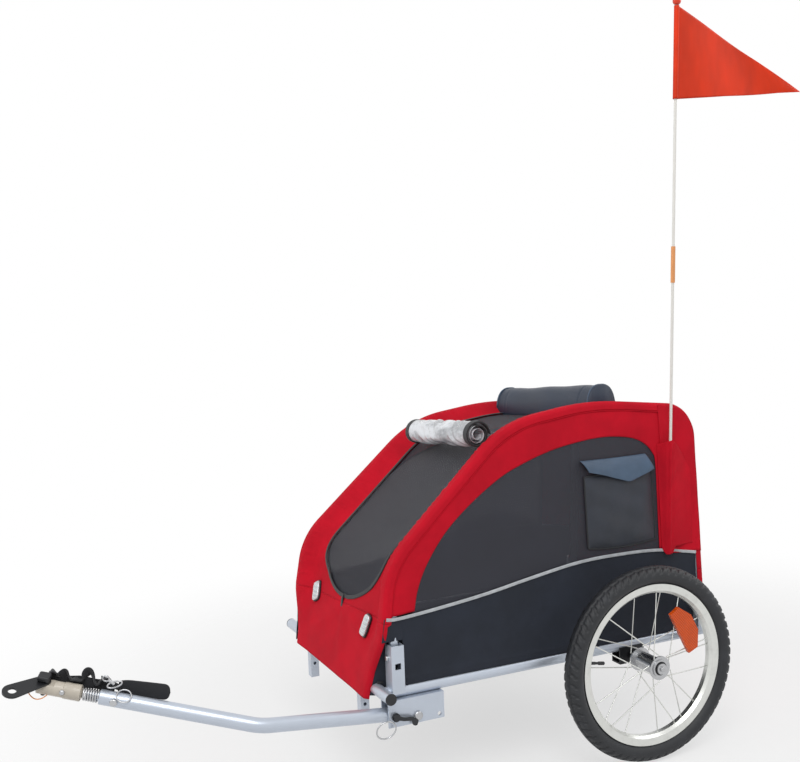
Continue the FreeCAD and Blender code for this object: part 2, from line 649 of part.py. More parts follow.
def between_sides(reach):
    """Everything inside the two leaning side planes, at a distance out of the arches' planes."""
    block = box((-FAR, -FAR, 0), (FAR, FAR, FAR))
    for side, pivot_z in ((1, LEFT_PIVOT_Z), (-1, RIGHT_PIVOT_Z)):
        outside = box((-FAR, RAIL_Y + reach, -FAR), (FAR, 2 * FAR, 2 * FAR))
        block = block.cut(leaned(outside, side, pivot_z))
    return block


def cover_to(z):
    """The cover's outline, with both ends carried on to a height."""
    (ax, az), (bx, bz) = COVER_OUTLINE[:2]
    front = ax + (ax - bx) * (az - z) / (bz - az)
    return [(front, z)] + COVER_OUTLINE[1:-1] + [(COVER_OUTLINE[-1][0], z)]


def cover_band(inset, wall):
    """Skin that follows the cover's outline across the trailer."""
    outer = slanted(outline_face(cover_to(0.0), COVER_RADII, inset), -RAIL_Y * 2, RAIL_Y * 2)
    inner = slanted(outline_face(cover_to(-RAIL_Z), COVER_RADII, inset + wall), -RAIL_Y * 3, RAIL_Y * 3)
    return outer.cut(inner)


def door_slab(grow):
    """The front window's opening, a rounded shield seen from the front, as a block along X."""
    corners = [(DOOR_HALF_TOP + grow, DOOR_TOP_Z + grow), (DOOR_HALF_TOP + grow, DOOR_WIDE_Z),
               ((DOOR_HALF_TOP * 2 + DOOR_HALF_LOW) / 3 + grow * 0.8, (DOOR_WIDE_Z + DOOR_LOW_Z * 3) / 4 - grow * 0.6),
               (DOOR_HALF_LOW, DOOR_LOW_Z - grow)]
    left = [V(0, y, z + slant(y)) for y, z in corners]
    right = [V(0, -y, z + slant(-y)) for y, z in corners]
    edges = [Part.LineSegment(right[0], left[0]), Part.LineSegment(left[0], left[1]), Part.Arc(left[1], left[2], left[3]),
             Part.LineSegment(left[3], right[3]), Part.Arc(right[3], right[2], right[1]), Part.LineSegment(right[1], right[0])]
    face = Part.Face(Part.Wire([edge.toShape() for edge in edges]))
    face.translate(V(ROOF_SPLIT_X, 0, 0))
    return face.extrude(V(FAR, 0, 0))


def front_panel():
    """Front of the cover, with the door opening."""
    shape = cover_band(0, COVER_WALL).common(between_sides(PANEL_IN - CLEAR))
    shape = shape.common(box((ROOF_SPLIT_X + JOIN, -FAR, COVER_OUTLINE[0][1]), (FAR, FAR, FAR)))
    return shape.cut(door_slab(0))


def front_mesh():
    """Mesh door behind the front opening."""
    shape = cover_band(COVER_WALL + CLEAR, MESH_WALL).common(between_sides(0))
    return shape.common(door_slab(DOOR_OVERLAP))


def roof_panel():
    """Roof between the two arches."""
    shape = cover_band(0, COVER_WALL).common(between_sides(PANEL_IN - CLEAR))
    return shape.common(box((STRIP_FRONT_X + JOIN, -FAR, LAMP_Z), (ROOF_SPLIT_X - JOIN, FAR, FAR)))


def pole_line():
    """Foot and direction of the flag pole, which stands beside the left rear strip."""
    x, z = POLE_FOOT
    out = RAIL_Y + (PANEL_OUT + CLEAR + POCKET_SLEEVE_OD / 2) / math.cos(math.radians(ARCH_LEAN))
    y = out - (z - LEFT_PIVOT_Z) * math.tan(math.radians(ARCH_LEAN))
    tilt = math.radians(POLE_TILT)
    return V(x, y, z), V(-math.sin(tilt), 0, math.cos(tilt))


def rear_panel():
    """Back of the cover: it wraps round both sides and carries the sewn sleeve for the flag pole."""
    whole = slanted(outline_face(cover_to(0.0), COVER_RADII, 0), -FAR / 2, FAR / 2)
    low = COVER_OUTLINE[-1][1]
    inner = slanted(outline_face(cover_to(-RAIL_Z), COVER_RADII, COVER_WALL), -FAR / 2, FAR / 2).common(between_sides(PANEL_IN))
    shape = whole.common(between_sides(PANEL_OUT)).cut(inner)
    shape = shape.common(box((-FAR, -FAR, low), (STRIP_FRONT_X - JOIN, FAR, FAR)))
    seam_top = max(z for x, z in SEAM_LINE) + PANEL_GAP
    post_x = POST_REAR_X + POST_WIDTH / 2
    post_y = RAIL_Y - ARCH_R - POST_WALL - CLEAR
    for side, pivot_z in ((1, LEFT_PIVOT_Z), (-1, RIGHT_PIVOT_Z)):
        near = sorted((side * post_y, side * FAR))
        post_top = pivot_z + POST_ABOVE_PIVOT + CLEAR
        shape = shape.cut(box((-FAR, near[0], 0), (post_x, near[1], post_top)))
        shape = shape.cut(box((post_x, near[0], 0), (FAR, near[1], seam_top + pivot_z - LEFT_PIVOT_Z)))
    foot, up = pole_line()
    top = foot + up * POCKET_SLEEVE_LENGTH
    sleeve = cylinder(POCKET_SLEEVE_OD / 2, foot - up * (CLEAR * 10), top)
    web = box((foot.x - POCKET_SLEEVE_OD / 2, RAIL_Y * 0.8, seam_top), (STRIP_FRONT_X - JOIN, foot.y, top.z))
    web = web.cut(whole.common(between_sides(PANEL_IN)))
    bore = cylinder(POLE_DIA / 2 + CLEAR, foot, foot + up * FAR)
    return shape.fuse([sleeve, web]).cut(bore).removeSplitter()


def front_reflectors():
    """Two reflectors sewn on the lower front."""
    (ax, az), (bx, bz) = COVER_OUTLINE[0], COVER_OUTLINE[1]
    slope = math.degrees(math.atan2(ax - bx, bz - az))
    shapes = []
    for side in (-1, 1):
        lens = box((CLEAR, -LAMP_WIDTH / 2, -LAMP_HEIGHT / 2), (CLEAR + LAMP_THICK, LAMP_WIDTH / 2, LAMP_HEIGHT / 2))
        lens = lens.makeFillet(LAMP_WIDTH * 0.15, [e for e in lens.Edges if abs(e.tangentAt(0).x) > 0.9])
        lens.rotate(V(0, 0, 0), V(0, 1, 0), -slope)
        x = ax + (bx - ax) * (LAMP_Z - slant(side * LAMP_Y) - az) / (bz - az)
        lens.translate(V(x, side * LAMP_Y, LAMP_Z))
        shapes.append(lens)
    return Part.makeCompound(shapes)


def pocket():
    """Flat pocket on the left side's mesh."""
    low = RAIL_Y + PANEL_IN + MESH_WALL + CLEAR
    shape = box((POCKET_X[0], low, POCKET_Z[0]), (POCKET_X[1], low + POCKET_THICK, POCKET_Z[1]))
    shape = shape.makeFillet(POCKET_THICK * 0.4, [e for e in shape.Edges if abs(e.tangentAt(0).y) > 0.9])
    return leaned(shape, 1, LEFT_PIVOT_Z)


def pocket_flap():
    """Flap over the pocket's mouth."""
    back = RAIL_Y + PANEL_IN + MESH_WALL + CLEAR
    low = back + POCKET_THICK + CLEAR
    shape = box((POCKET_X[0] - 4, low, FLAP_Z[0]), (POCKET_X[1] + 6, low + FLAP_THICK, FLAP_Z[1]))
    root = box((POCKET_X[0] - 4, back, FLAP_Z[1] - FLAP_THICK), (POCKET_X[1] + 6, low + FLAP_THICK, FLAP_Z[1]))
    return leaned(shape.fuse(root).removeSplitter(), 1, LEFT_PIVOT_Z)


# Rolls on the roof

def rain_flap_roll():
    """Clear rain flap, rolled up above the door: half-circle arcs whose radius grows each half turn."""
    step = (RAIN_ROLL_WALL + RAIN_ROLL_GAP) / 2
    halves = 2 * RAIN_ROLL_TURNS
    inner, outer = [], []
    for half in range(halves):
        way = -1 if half % 2 == 0 else 1
        radius = RAIN_ROLL_R - RAIN_ROLL_WALL - half * step
        middle = V((half % 2) * step, 0, 0)
        for edge_r, edges in ((radius, inner), (radius + RAIN_ROLL_WALL, outer)):
            arc = Part.Arc(middle + V(way * edge_r, 0, 0), middle + V(0, 0, way * edge_r), middle - V(way * edge_r, 0, 0))
            edges.append(arc.toShape())
    ends = [Part.LineSegment(i.valueAt(t), o.valueAt(t)).toShape()
            for i, o, t in ((inner[0], outer[0], inner[0].FirstParameter), (inner[-1], outer[-1], inner[-1].LastParameter))]
    face = Part.Face(Part.Wire(Part.sortEdges(inner + outer + ends)[0]))
    (ax, az), (bx, bz) = COVER_OUTLINE[1], COVER_OUTLINE[2]
    length = math.hypot(bx - ax, bz - az)
    z = az + (bz - az) * (ax - RAIN_ROLL_X) / (ax - bx)
    lift = RAIN_ROLL_R + CLEAR
    nx, nz = (bz - az) / length, (ax - bx) / length
    first, last = RAIN_ROLL_Y
    face.translate(V(RAIN_ROLL_X + nx * lift, first, z + slant(first) + nz * lift))
    slope = Part.Wire(rounded_edges([V(x, first, z + slant(first)) for x, z in COVER_OUTLINE], COVER_RADII))
    face.translate(V(nx, 0, nz) * (CLEAR - face.distToShape(slope)[0]))
    print("rain flap roll: least gap between turns %.2f mm" % least_gap(outer[2:], inner[:-2]))
    return face.extrude(V(0, last - first, slant(last) - slant(first)))


def roof_roll():
    """Rolled dark sun flap with a D-shaped end, lying on the roof."""
    half = ROOF_ROLL_WIDTH / 2
    start, top, end = V(0, -half, 0), V(0, 0, ROOF_ROLL_HEIGHT), V(0, half, 0)
    face = Part.Face(Part.Wire([Part.Arc(start, top, end).toShape(), Part.LineSegment(end, start).toShape()]))
    shape = face.extrude(V(ROOF_ROLL_LENGTH, 0, 0))
    shape.translate(V(-ROOF_ROLL_LENGTH / 2, 0, 0))
    shape.rotate(V(0, 0, 0), V(0, 1, 0), ROOF_ROLL_PITCH)
    shape.rotate(V(0, 0, 0), V(0, 0, 1), ROOF_ROLL_TURN)
    shape.translate(V(ROOF_ROLL_X, ROOF_ROLL_Y, COVER_OUTLINE[3][1] + slant(ROOF_ROLL_Y) - ROOF_ROLL_HEIGHT * 0.53))
    whole = slanted(outline_face(COVER_OUTLINE, COVER_RADII, -CLEAR), -RAIL_Y, RAIL_Y)
    return shape.cut(whole)


# Flag

def flag_pole():
    """Two fibreglass rods, end to end inside the ferrule."""
    foot, up = pole_line()
    split = FERRULE_AT + FERRULE_LENGTH / 2
    lower = cylinder(POLE_DIA / 2, foot + up * CLEAR, foot + up * (split - JOIN))
    upper = cylinder(POLE_DIA / 2, foot + up * (split + JOIN), foot + up * POLE_LENGTH)
    return Part.makeCompound([lower, upper])


def pole_ferrule():
    """Joining sleeve of the two rods."""
    foot, up = pole_line()
    return tube(FERRULE_DIA, POLE_DIA + 2 * JOIN, foot + up * FERRULE_AT, foot + up * (FERRULE_AT + FERRULE_LENGTH))


def flag():
    """Pennant with a hem round the pole; its lower edge is level and it points to the rear."""
    foot, up = pole_line()
    top = foot + up * (POLE_LENGTH - FLAG_BELOW_TOP)
    low = foot + up * (POLE_LENGTH - FLAG_BELOW_TOP - FLAG_HEIGHT)
    hem = cylinder(FLAG_HEM_DIA / 2, low, top)
    tip = V(low.x - FLAG_LENGTH, 0, low.z + FLAG_TIP_RISE)
    face = Part.Face(Part.makePolygon([V(top.x, 0, top.z), V(low.x, 0, low.z), tip, V(top.x, 0, top.z)]))
    cloth = slab(face, foot.y - FLAG_THICK / 2, foot.y + FLAG_THICK / 2)
    return hem.fuse(cloth).cut(cylinder(POLE_DIA / 2 + JOIN, foot, foot + up * FAR))


def flag_finial():
    """Ball cap on the pole's top."""
    foot, up = pole_line()
    centre = foot + up * (POLE_LENGTH + FINIAL_DIA * 0.3)
    ball = Part.makeSphere(FINIAL_DIA / 2, centre)
    return ball.cut(cylinder(POLE_DIA / 2 + JOIN, foot, foot + up * (POLE_LENGTH + JOIN)))


# Tow bar, its bracket and the lock pin

def tow_pivot():
    return V(TOW_PIVOT_X, RAIL_Y, TOW_PIVOT_Z)


def bar_directions():
    """Unit vectors of the tow bar's two runs."""
    pitch = math.radians(BAR_PITCH)
    turn, rise = math.radians(BAR_TURN_IN), math.radians(BAR_TURN_UP)
    first = V(math.cos(pitch), 0, math.sin(pitch))
    second = V(math.cos(rise) * math.cos(turn), -math.cos(rise) * math.sin(turn), math.sin(rise))
    return first, second


def bar_points():
    """Rear end, bend and front end of the tow bar's centre line."""
    first, second = bar_directions()
    bend = tow_pivot() + first * BAR_FIRST
    return tow_pivot() - first * BAR_REAR, bend, bend + second * BAR_SECOND


def hitch_place(roll=0.0):
    """Frame of the hitch: its X runs on along the bar from the bar's front end, its Z upwards."""
    rear, bend, front = bar_points()
    ahead = bar_directions()[1]
    turn = FreeCAD.Rotation(ahead, V(0, 0, 0), V(0, 0, 1), "XZY")
    return FreeCAD.Placement(front, turn.multiply(FreeCAD.Rotation(V(1, 0, 0), roll)))


def placed(shape, place):
    moved = shape.copy()
    moved.Placement = place.multiply(moved.Placement)
    return moved


def channel_half():
    return BAR_OD / 2 + BAR_SIDE_GAP + CHANNEL_WALL


def pin_point():
    return tow_pivot() + bar_directions()[0] * TOW_PIN_AHEAD


def cross_hole(point, diameter):
    return cylinder(diameter / 2, point - V(0, FAR, 0), point + V(0, FAR, 0))


def tow_bracket():
    """Inverted channel welded under the left rail: pivot hole, lock hole and a spare hole for the folded bar."""
    pivot = tow_pivot()
    half = channel_half()
    top = RAIL_Z - TUBE_OD / 2 - JOIN
    shape = box((pivot.x - CHANNEL_REAR, RAIL_Y - half, pivot.z - CHANNEL_DROP),
                (pivot.x + CHANNEL_FRONT, RAIL_Y + half, top))
    inner = half - CHANNEL_WALL
    shape = shape.cut(box((-FAR, RAIL_Y - inner, -FAR), (FAR, RAIL_Y + inner, top - CHANNEL_WALL)))
    shape = shape.cut(cross_hole(pivot, TOW_BOLT_DIA + 2 * SLIP))
    shape = shape.cut(cross_hole(pin_point(), TOW_PIN_DIA + 2 * SLIP))
    spare = pivot * 2 - pin_point()
    return shape.cut(cross_hole(spare, TOW_PIN_DIA + 2 * SLIP))


def tow_pivot_bolt():
    """Bolt on which the tow bar folds under the trailer."""
    half = channel_half() + JOIN
    pivot = tow_pivot()
    return bolt(TOW_BOLT_DIA, TOW_BOLT_DIA * 1.8, BOLT_HEAD_THICK, pivot + V(0, half, 0), pivot - V(0, half, 0))


def tow_lock_pin():
    """Pull pin through the bracket and the tow bar."""
    half = channel_half()
    point = pin_point()
    face = point + V(0, half + JOIN, 0)
    shape = cylinder(TOW_PIN_DIA / 2, point - V(0, half + TOW_PIN_DIA, 0), face)
    return shape.fuse(cylinder(PIN_HEAD_DIA / 2, face, face + V(0, PIN_HEAD_THICK, 0)))


def tow_bar():
    """Bent tube with a closed front end and a spigot for the hitch spring; its lock slot opens upwards."""
    rear, bend, front = bar_points()
    edges = rounded_edges([rear, bend, front], [BAR_BEND_R])
    shape = swept(edges, BAR_OD / 2).cut(swept(edges, BAR_OD / 2 - BAR_WALL))
    ahead = bar_directions()[1]
    shape = shape.fuse(cylinder(BAR_OD / 2 - BAR_WALL, front - ahead * BAR_OD, front))
    shape = shape.fuse(cylinder(SPIGOT_DIA / 2, front - ahead * BAR_WALL, front + ahead * SPIGOT_LENGTH))
    drill = cylinder(HITCH_PIN_DIA / 2 + JOIN, V(-BAR_OD, -BAR_OD, 0), V(-BAR_OD, BAR_OD, 0))
    shape = shape.cut(placed(drill, hitch_place()))
    shape = shape.cut(cross_hole(tow_pivot(), TOW_BOLT_DIA + 2 * SLIP))
    shape = shape.cut(cross_hole(pin_point(), TOW_PIN_DIA + 2 * CLEAR))
    swing = TOW_PIN_DIA / 2 + CLEAR
    slot = tube(2 * (TOW_PIN_AHEAD + swing), 2 * (TOW_PIN_AHEAD - swing), tow_pivot() - V(0, BAR_OD, 0),
                tow_pivot() + V(0, BAR_OD, 0))
    above = box((TOW_PIVOT_X, -FAR, pin_point().z), (FAR, FAR, pin_point().z + BAR_OD))
    return shape.cut(slot.common(above)).removeSplitter()


# Hitch, in its own frame: X along the sleeve

def biarc(p, s, q, t):
    """Two tangent arcs from p along s to q along t."""
    v = q - p
    both = s + t
    turn = 2 * (1 - s.dot(t))
    d = (-v.dot(both) + math.sqrt(v.dot(both) ** 2 + turn * v.dot(v))) / turn
    a, b = p + s * d, q - t * d
    middle = (a + b) * 0.5
    arcs = []
    for start, corner, end in ((p, a, middle), (middle, b, q)):
        chord = (start + end) * 0.5
        half = (end - start).Length / 2
        rise = corner - chord
        height = half * math.tan(math.atan2(rise.Length, half) / 2)
        arcs.append(Part.Arc(start, chord + rise.normalize() * height, end).toShape())
    return arcs


def hitch_spring():
    """Coil between the bar's end and the sleeve: one unbroken wire on quarter-turn biarcs."""
    radius = (SPRING_OD - SPRING_WIRE) / 2
    rise = (SPRING_LENGTH - SPRING_WIRE) / SPRING_TURNS
    steps = int(SPRING_TURNS * 4)

    def at(quarter):
        angle = quarter * math.pi / 2
        point = V(SPRING_WIRE / 2 + JOIN + rise * quarter / 4, radius * math.cos(angle), radius * math.sin(angle))
        along = V(rise / (2 * math.pi), -radius * math.sin(angle), radius * math.cos(angle))
        return point, along.normalize()

    edges = []
    for quarter in range(steps):
        p, s = at(quarter)
        q, t = at(quarter + 1)
        edges += biarc(p, s, q, t)
    turn = len(edges) * 4 // steps
    gaps = [least_gap(edges[i:i + 1], edges[i + turn - 1:i + turn + 2]) for i in range(len(edges) - turn - 1)]
    print("hitch spring: least gap between turns %.2f mm" % (min(gaps) - SPRING_WIRE))
    return placed(swept(edges, SPRING_WIRE / 2), hitch_place())


def ball_x():
    """Centre of the sleeve's round end, on which the hitch flexes inside the spring's last turn."""
    seat = SPRING_OD / 2 - SPRING_WIRE
    return SPRING_LENGTH + CLEAR + math.sqrt((SLEEVE_OD / 2) ** 2 - seat ** 2)


def pin_x():
    return ball_x() + SLEEVE_LENGTH - HITCH_PIN_SET


def plate_low():
    return SLEEVE_SEAT + CLEAR


def hitch_sleeve():
    """Sleeve with a ball end and a flat seat for the hitch plate."""
    front = ball_x() + SLEEVE_LENGTH
    shape = cylinder(SLEEVE_OD / 2, V(ball_x(), 0, 0), V(front, 0, 0))
    shape = shape.fuse(Part.makeSphere(SLEEVE_OD / 2, V(ball_x(), 0, 0)))
    shape = shape.cut(box((front - SLEEVE_FLAT, -FAR, SLEEVE_SEAT), (FAR, FAR, FAR)))
    shape = shape.cut(cylinder(HITCH_PIN_DIA / 2 + SLIP, V(pin_x(), 0, -SLEEVE_OD), V(pin_x(), 0, SLEEVE_OD)))
    return placed(shape.removeSplitter(), hitch_place(PLATE_ROLL))


def hitch_plate():
    """Paddle-shaped steel plate on the sleeve's seat, with an eye for the bicycle's axle."""
    turn = math.acos((PLATE_PIN_R - PLATE_EYE_R) / PLATE_REACH)
    way = V(math.cos(turn), math.sin(turn), 0)
    start = V(0, 0, plate_low())
    eye = start + V(PLATE_REACH, 0, 0)
    flip = V(way.x, -way.y, 0)
    outline = [Part.LineSegment(start + way * PLATE_PIN_R, eye + way * PLATE_EYE_R),
               Part.Arc(eye + way * PLATE_EYE_R, eye + V(PLATE_EYE_R, 0, 0), eye + flip * PLATE_EYE_R),
               Part.LineSegment(eye + flip * PLATE_EYE_R, start + flip * PLATE_PIN_R),
               Part.Arc(start + flip * PLATE_PIN_R, start - V(PLATE_PIN_R, 0, 0), start + way * PLATE_PIN_R)]
    shape = Part.Face(Part.Wire([edge.toShape() for edge in outline])).extrude(V(0, 0, PLATE_THICK))
    thick = V(0, 0, PLATE_THICK)
    shape = shape.cut(cylinder(HITCH_PIN_DIA / 2 + SLIP, start, start + thick))
    shape = shape.cut(cylinder(PLATE_HOLE_DIA / 2, eye, eye + thick))
    shape.rotate(V(0, 0, 0), V(0, 0, 1), PLATE_SWING)
    shape.translate(V(pin_x(), 0, 0))
    return placed(shape, hitch_place(PLATE_ROLL))


def hitch_pin():
    """Pin through plate and sleeve, with a block-shaped grip."""
    top = plate_low() + PLATE_THICK + JOIN
    length, width, height = HITCH_PIN_HEAD
    head = box((pin_x() - length / 2, -width / 2, top), (pin_x() + length / 2, width / 2, top + height))
    head = head.makeFillet(width * 0.2, head.Edges)
    shank = cylinder(HITCH_PIN_DIA / 2, V(pin_x(), 0, -SLEEVE_OD / 2 - 4), V(pin_x(), 0, top + height / 2))
    return placed(head.fuse(shank).removeSplitter(), hitch_place(PLATE_ROLL))


def hitch_bolts():
    """Bolt through the bar's closed front end; it holds the spigot."""
    length = BAR_OD / 2 + JOIN
    shape = bolt(HITCH_PIN_DIA, HITCH_PIN_DIA * 1.7, BOLT_HEAD_THICK, V(-BAR_OD, length, 0), V(-BAR_OD, -length, 0))
    return placed(shape, hitch_place())


def safety_strap():
    """Webbing in waves over the hitch, and its flat free end standing behind the bar."""
    low = [V(x, 0, z) for x, z in STRAP_WAVES]
    wire = Part.Wire(rounded_edges(low, STRAP_RADII))
    waves = wire.extrude(V(0, STRAP_WIDTH, 0)).makeOffsetShape(STRAP_THICK, 0.01, fill=True)
    waves.translate(V(0, -STRAP_SIDE - STRAP_WIDTH / 2, 0))
    back = BAR_OD / 2 + CLEAR
    end = box((STRAP_END[0], -back - STRAP_THICK, STRAP_END_LOW), (STRAP_END[1], -back, STRAP_END_LOW + STRAP_WIDTH))
    corner = [e for e in end.Edges if abs(e.tangentAt(0).y) > 0.9 and e.BoundBox.XMax < STRAP_END[0] + 1]
    end = end.makeFillet(STRAP_WIDTH * 0.3, corner)
    return placed(Part.makeCompound([waves, end]), hitch_place())


def strap_ring():
    """Split ring lying against the bar; it ties the strap to the bar's bolt."""
    out = BAR_OD / 2 + CLEAR + RING_WIRE / 2
    lean = math.radians(RING_LEAN)
    normal = V(0, math.sin(lean), math.cos(lean))
    ring = Part.makeTorus(RING_R, RING_WIRE / 2, V(RING_AT, 0, 0) + normal * out, normal)
    return placed(ring, hitch_place())


def write_parts():
    os.makedirs("parts", exist_ok=True)
    for side, name in ((1, "left"), (-1, "right")):
        centre = V(0, side * WHEEL_Y, AXLE_Z)
        axis = V(0, 1, 0)
        pivot_z = LEFT_PIVOT_Z if side > 0 else RIGHT_PIVOT_Z
        export(name + "_tyre", tyre(centre, axis))
        export(name + "_rim", rim(centre, axis))
        export(name + "_hub", hub(centre, axis))
        export(name + "_bearings", bearings(centre, axis))
        export(name + "_spokes", spokes(centre))
        export(name + "_reflector", spoke_reflector(centre, side))
        export(name + "_release_button", release_button(side))
        export(name + "_rail", rail(side))
        export(name + "_posts", Part.makeCompound([post(x, side, pivot_z) for x in (POST_FRONT_X, POST_REAR_X)]))
        export(name + "_arch", arch(side, pivot_z))
        export(name + "_side_panel", side_panel(side, pivot_z))
        export(name + "_side_mesh", side_mesh(side, pivot_z))
        export(name + "_lower_panel", lower_panel(side, pivot_z))
    export("wheel_axles", Part.makeCompound([axle(side) for side in (-1, 1)]))
    export("axle_brackets", Part.makeCompound([axle_bracket(side) for side in (-1, 1)]))
    export("front_leg_sockets", Part.makeCompound([leg_socket(side) for side in (-1, 1)]))
    export("front_cross_tube", tube_y(FRONT_TUBE_X, RAIL_Y + FRONT_OVERHANG))
    export("rear_cross_tube", rear_cross_tube())
    export("tube_plugs", tube_plugs())
    export("floor_panel", floor_panel())
    export("post_pivot_bolts", pivot_bolts())
    export("front_panel", front_panel())
    export("front_mesh", front_mesh())
    export("roof_panel", roof_panel())
    export("rear_panel", rear_panel())
    export("front_reflectors", front_reflectors())
    export("left_pocket", pocket())
    export("left_pocket_flap", pocket_flap())
    export("rain_flap_roll", rain_flap_roll())
    export("roof_roll", roof_roll())
    export("flag_pole", flag_pole())
    export("pole_ferrule", pole_ferrule())
    export("flag", flag())
    export("flag_finial", flag_finial())
    export("tow_bracket", tow_bracket())
    export("tow_pivot_bolt", tow_pivot_bolt())
    export("tow_lock_pin", tow_lock_pin())
    export("tow_bar", tow_bar())
    export("hitch_spring", hitch_spring())
    export("hitch_sleeve", hitch_sleeve())
    export("hitch_plate", hitch_plate())
    export("hitch_pin", hitch_pin())
    export("hitch_bolts", hitch_bolts())
    export("safety_strap", safety_strap())
    export("strap_ring", strap_ring())


write_parts()
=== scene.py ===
import math
from types import SimpleNamespace

import bmesh
import bpy
import numpy as np
from mathutils import Matrix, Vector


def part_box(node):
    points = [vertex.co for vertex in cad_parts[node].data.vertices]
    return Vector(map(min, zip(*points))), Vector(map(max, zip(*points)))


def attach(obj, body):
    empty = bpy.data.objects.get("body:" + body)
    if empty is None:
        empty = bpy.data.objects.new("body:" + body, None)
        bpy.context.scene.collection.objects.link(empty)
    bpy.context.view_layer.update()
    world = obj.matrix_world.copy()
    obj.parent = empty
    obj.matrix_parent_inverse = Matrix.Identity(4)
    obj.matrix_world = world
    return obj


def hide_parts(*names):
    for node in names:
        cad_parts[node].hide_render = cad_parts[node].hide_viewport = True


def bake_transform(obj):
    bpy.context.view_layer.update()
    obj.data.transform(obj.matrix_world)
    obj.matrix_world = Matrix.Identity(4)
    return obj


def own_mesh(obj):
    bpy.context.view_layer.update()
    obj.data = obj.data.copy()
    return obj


bl_info = {
    "name": "Dog bike trailer",
    "version": (1, 0, 0),
    "blender": (4, 5, 0),
    "location": "3D View > Sidebar > Trailer",
    "description": "Dresses the packed trailer frame with cloth, tyres, trim and finishes",
    "category": "Add Mesh",
}

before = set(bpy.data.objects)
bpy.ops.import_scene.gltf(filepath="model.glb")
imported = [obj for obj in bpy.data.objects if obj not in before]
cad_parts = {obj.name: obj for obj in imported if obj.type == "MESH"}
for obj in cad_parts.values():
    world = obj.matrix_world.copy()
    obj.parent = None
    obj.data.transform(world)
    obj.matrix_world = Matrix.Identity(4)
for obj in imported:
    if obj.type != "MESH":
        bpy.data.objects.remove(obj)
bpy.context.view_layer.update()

# Frame, in metres, as in the part's source; 1 is the left side and -1 the right
RAIL_Y = 0.238
LEAN = math.radians(4.0)
PIVOT_Z = {1: 0.286, -1: 0.252}
SIDE_NAME = {1: "left", -1: "right"}
SIDE_DROP = 0.034       # the right side stands lower by this
WHEEL_Y, AXLE_Z = 0.311, 0.200
POLE_FOOT = np.array([-0.1015, 0.2482, 0.400])
POLE_TILT = math.radians(2.2)
POLE_UP = np.array([-math.sin(POLE_TILT), 0.0, math.cos(POLE_TILT)])
POLE_LENGTH = 1.126
BAR_ROOT = np.array([0.495, RAIL_Y, 0.172])
BAR_PITCH, BAR_RISE, BAR_TURN = math.radians(6.5), math.radians(13.8), math.radians(22.7)
BAR_FIRST, BAR_SECOND = 0.304, 0.289

# Cover and sides; outlines are (x, z)
COVER_OUTLINE = [(0.580, 0.200), (0.5375, 0.460), (0.266, 0.704), (0.060, 0.731), (-0.194, 0.703),
                 (-0.194, 0.240)]
COVER_RADII = [0.150, 0.250, 0.600, 0.072]
FRONT_SLOPE = 0.1635    # how far the low front leans back per metre of height
WINDOW = [(0.488, 0.368), (0.479, 0.405), (0.457, 0.450), (0.416, 0.503), (0.365, 0.547), (0.297, 0.592),
          (0.242, 0.617), (0.152, 0.643), (0.055, 0.655), (-0.012, 0.651), (-0.054, 0.638), (-0.080, 0.613),
          (-0.087, 0.578), (-0.084, 0.410)]
PIPING = [(0.555, 0.362), (0.525, 0.359), (0.439, 0.366), (0.334, 0.378), (0.225, 0.395), (0.120, 0.409),
          (0.026, 0.412), (-0.077, 0.408), (-0.176, 0.391)]
FLAP_EDGE = [(0.086, 0.588), (0.055, 0.580), (0.010, 0.566), (-0.012, 0.5605), (-0.040, 0.568),
             (-0.074, 0.580)]
COVER_LIFT = 0.0015     # the cover lies this far above its outline
STRIP_X = -0.104        # where the strips behind the windows meet the side panels
SPLIT_Z = 0.352         # the aprons are below this, and the cover that folds is above it
ARCH_OUT = 0.0122       # from the arch's plane to the cloth's outer face
ARCH_COVERED = 0.0218   # the cloth starts to sink this far in from its edge
ROOF_HALF = 0.2065
ROW_STEP = 0.0042       # between the rows of the cover's grid
DOOR_LOW, DOOR_WIDE, DOOR_END_X = 0.366, 0.468, 0.046
DOOR_HALF, DOOR_TIP = 0.150, 0.020
GATHER_PITCH, GATHER_IN, GATHER_WIDTH = 0.0135, 0.034, 0.011
OVERLAP = 0.004         # of neighbouring cloths
BORDER_OUT, MESH_OUT, PIPING_OUT, STRIP_OUT = 0.0105, 0.0088, 0.0125, 0.0121    # out of the arch's plane
BORDER_LOW, BORDER_REAR_LOW = 0.363, 0.409
BORDER_IN, BORDER_TIGHTER = 0.0045, 0.004       # inside the cover's outline, and off its radii
SEAM_LOW, SEAM_REAR_LOW = 0.365, 0.398
STRIP_LOW = 0.392
WINDOW_BEND, WINDOW_REAR_X = 0.606, -0.094
PIPING_FRONT = {1: 0.550, -1: 0.545}
FRONT_POST_X, REAR_POST_X, POST_STEP = 0.514, -0.165, 0.0015
LEAF_X, LEAF_REACH = FRONT_POST_X + POST_STEP, 0.040    # the lower cloth's leaf ahead of the front post
LEAF_LOW, LOWER_LOW, LOWER_Y = 0.3185, 0.2304, 0.2445
LOWER_SHORT = {1: 0.0022, -1: 0.0160}   # the leaf stops short of the cover's front by this
BLEND_Y = 0.244
POCKET_X, POCKET_Z, POCKET_OUT = 0.009, 0.506, 0.0105
POCKET_HALF_WIDTH, POCKET_HALF_HEIGHT = 0.083, 0.073
FLAP_FRONT_X, FLAP_TOP_Z, FLAP_WIDTH = 0.100, 0.6125, 0.160
POLE_POCKET_LENGTH = 0.238
CORNER_Z = (0.207, 0.345)
POCKET_BEHIND, POLE_ROUND = 0.066, 0.0036

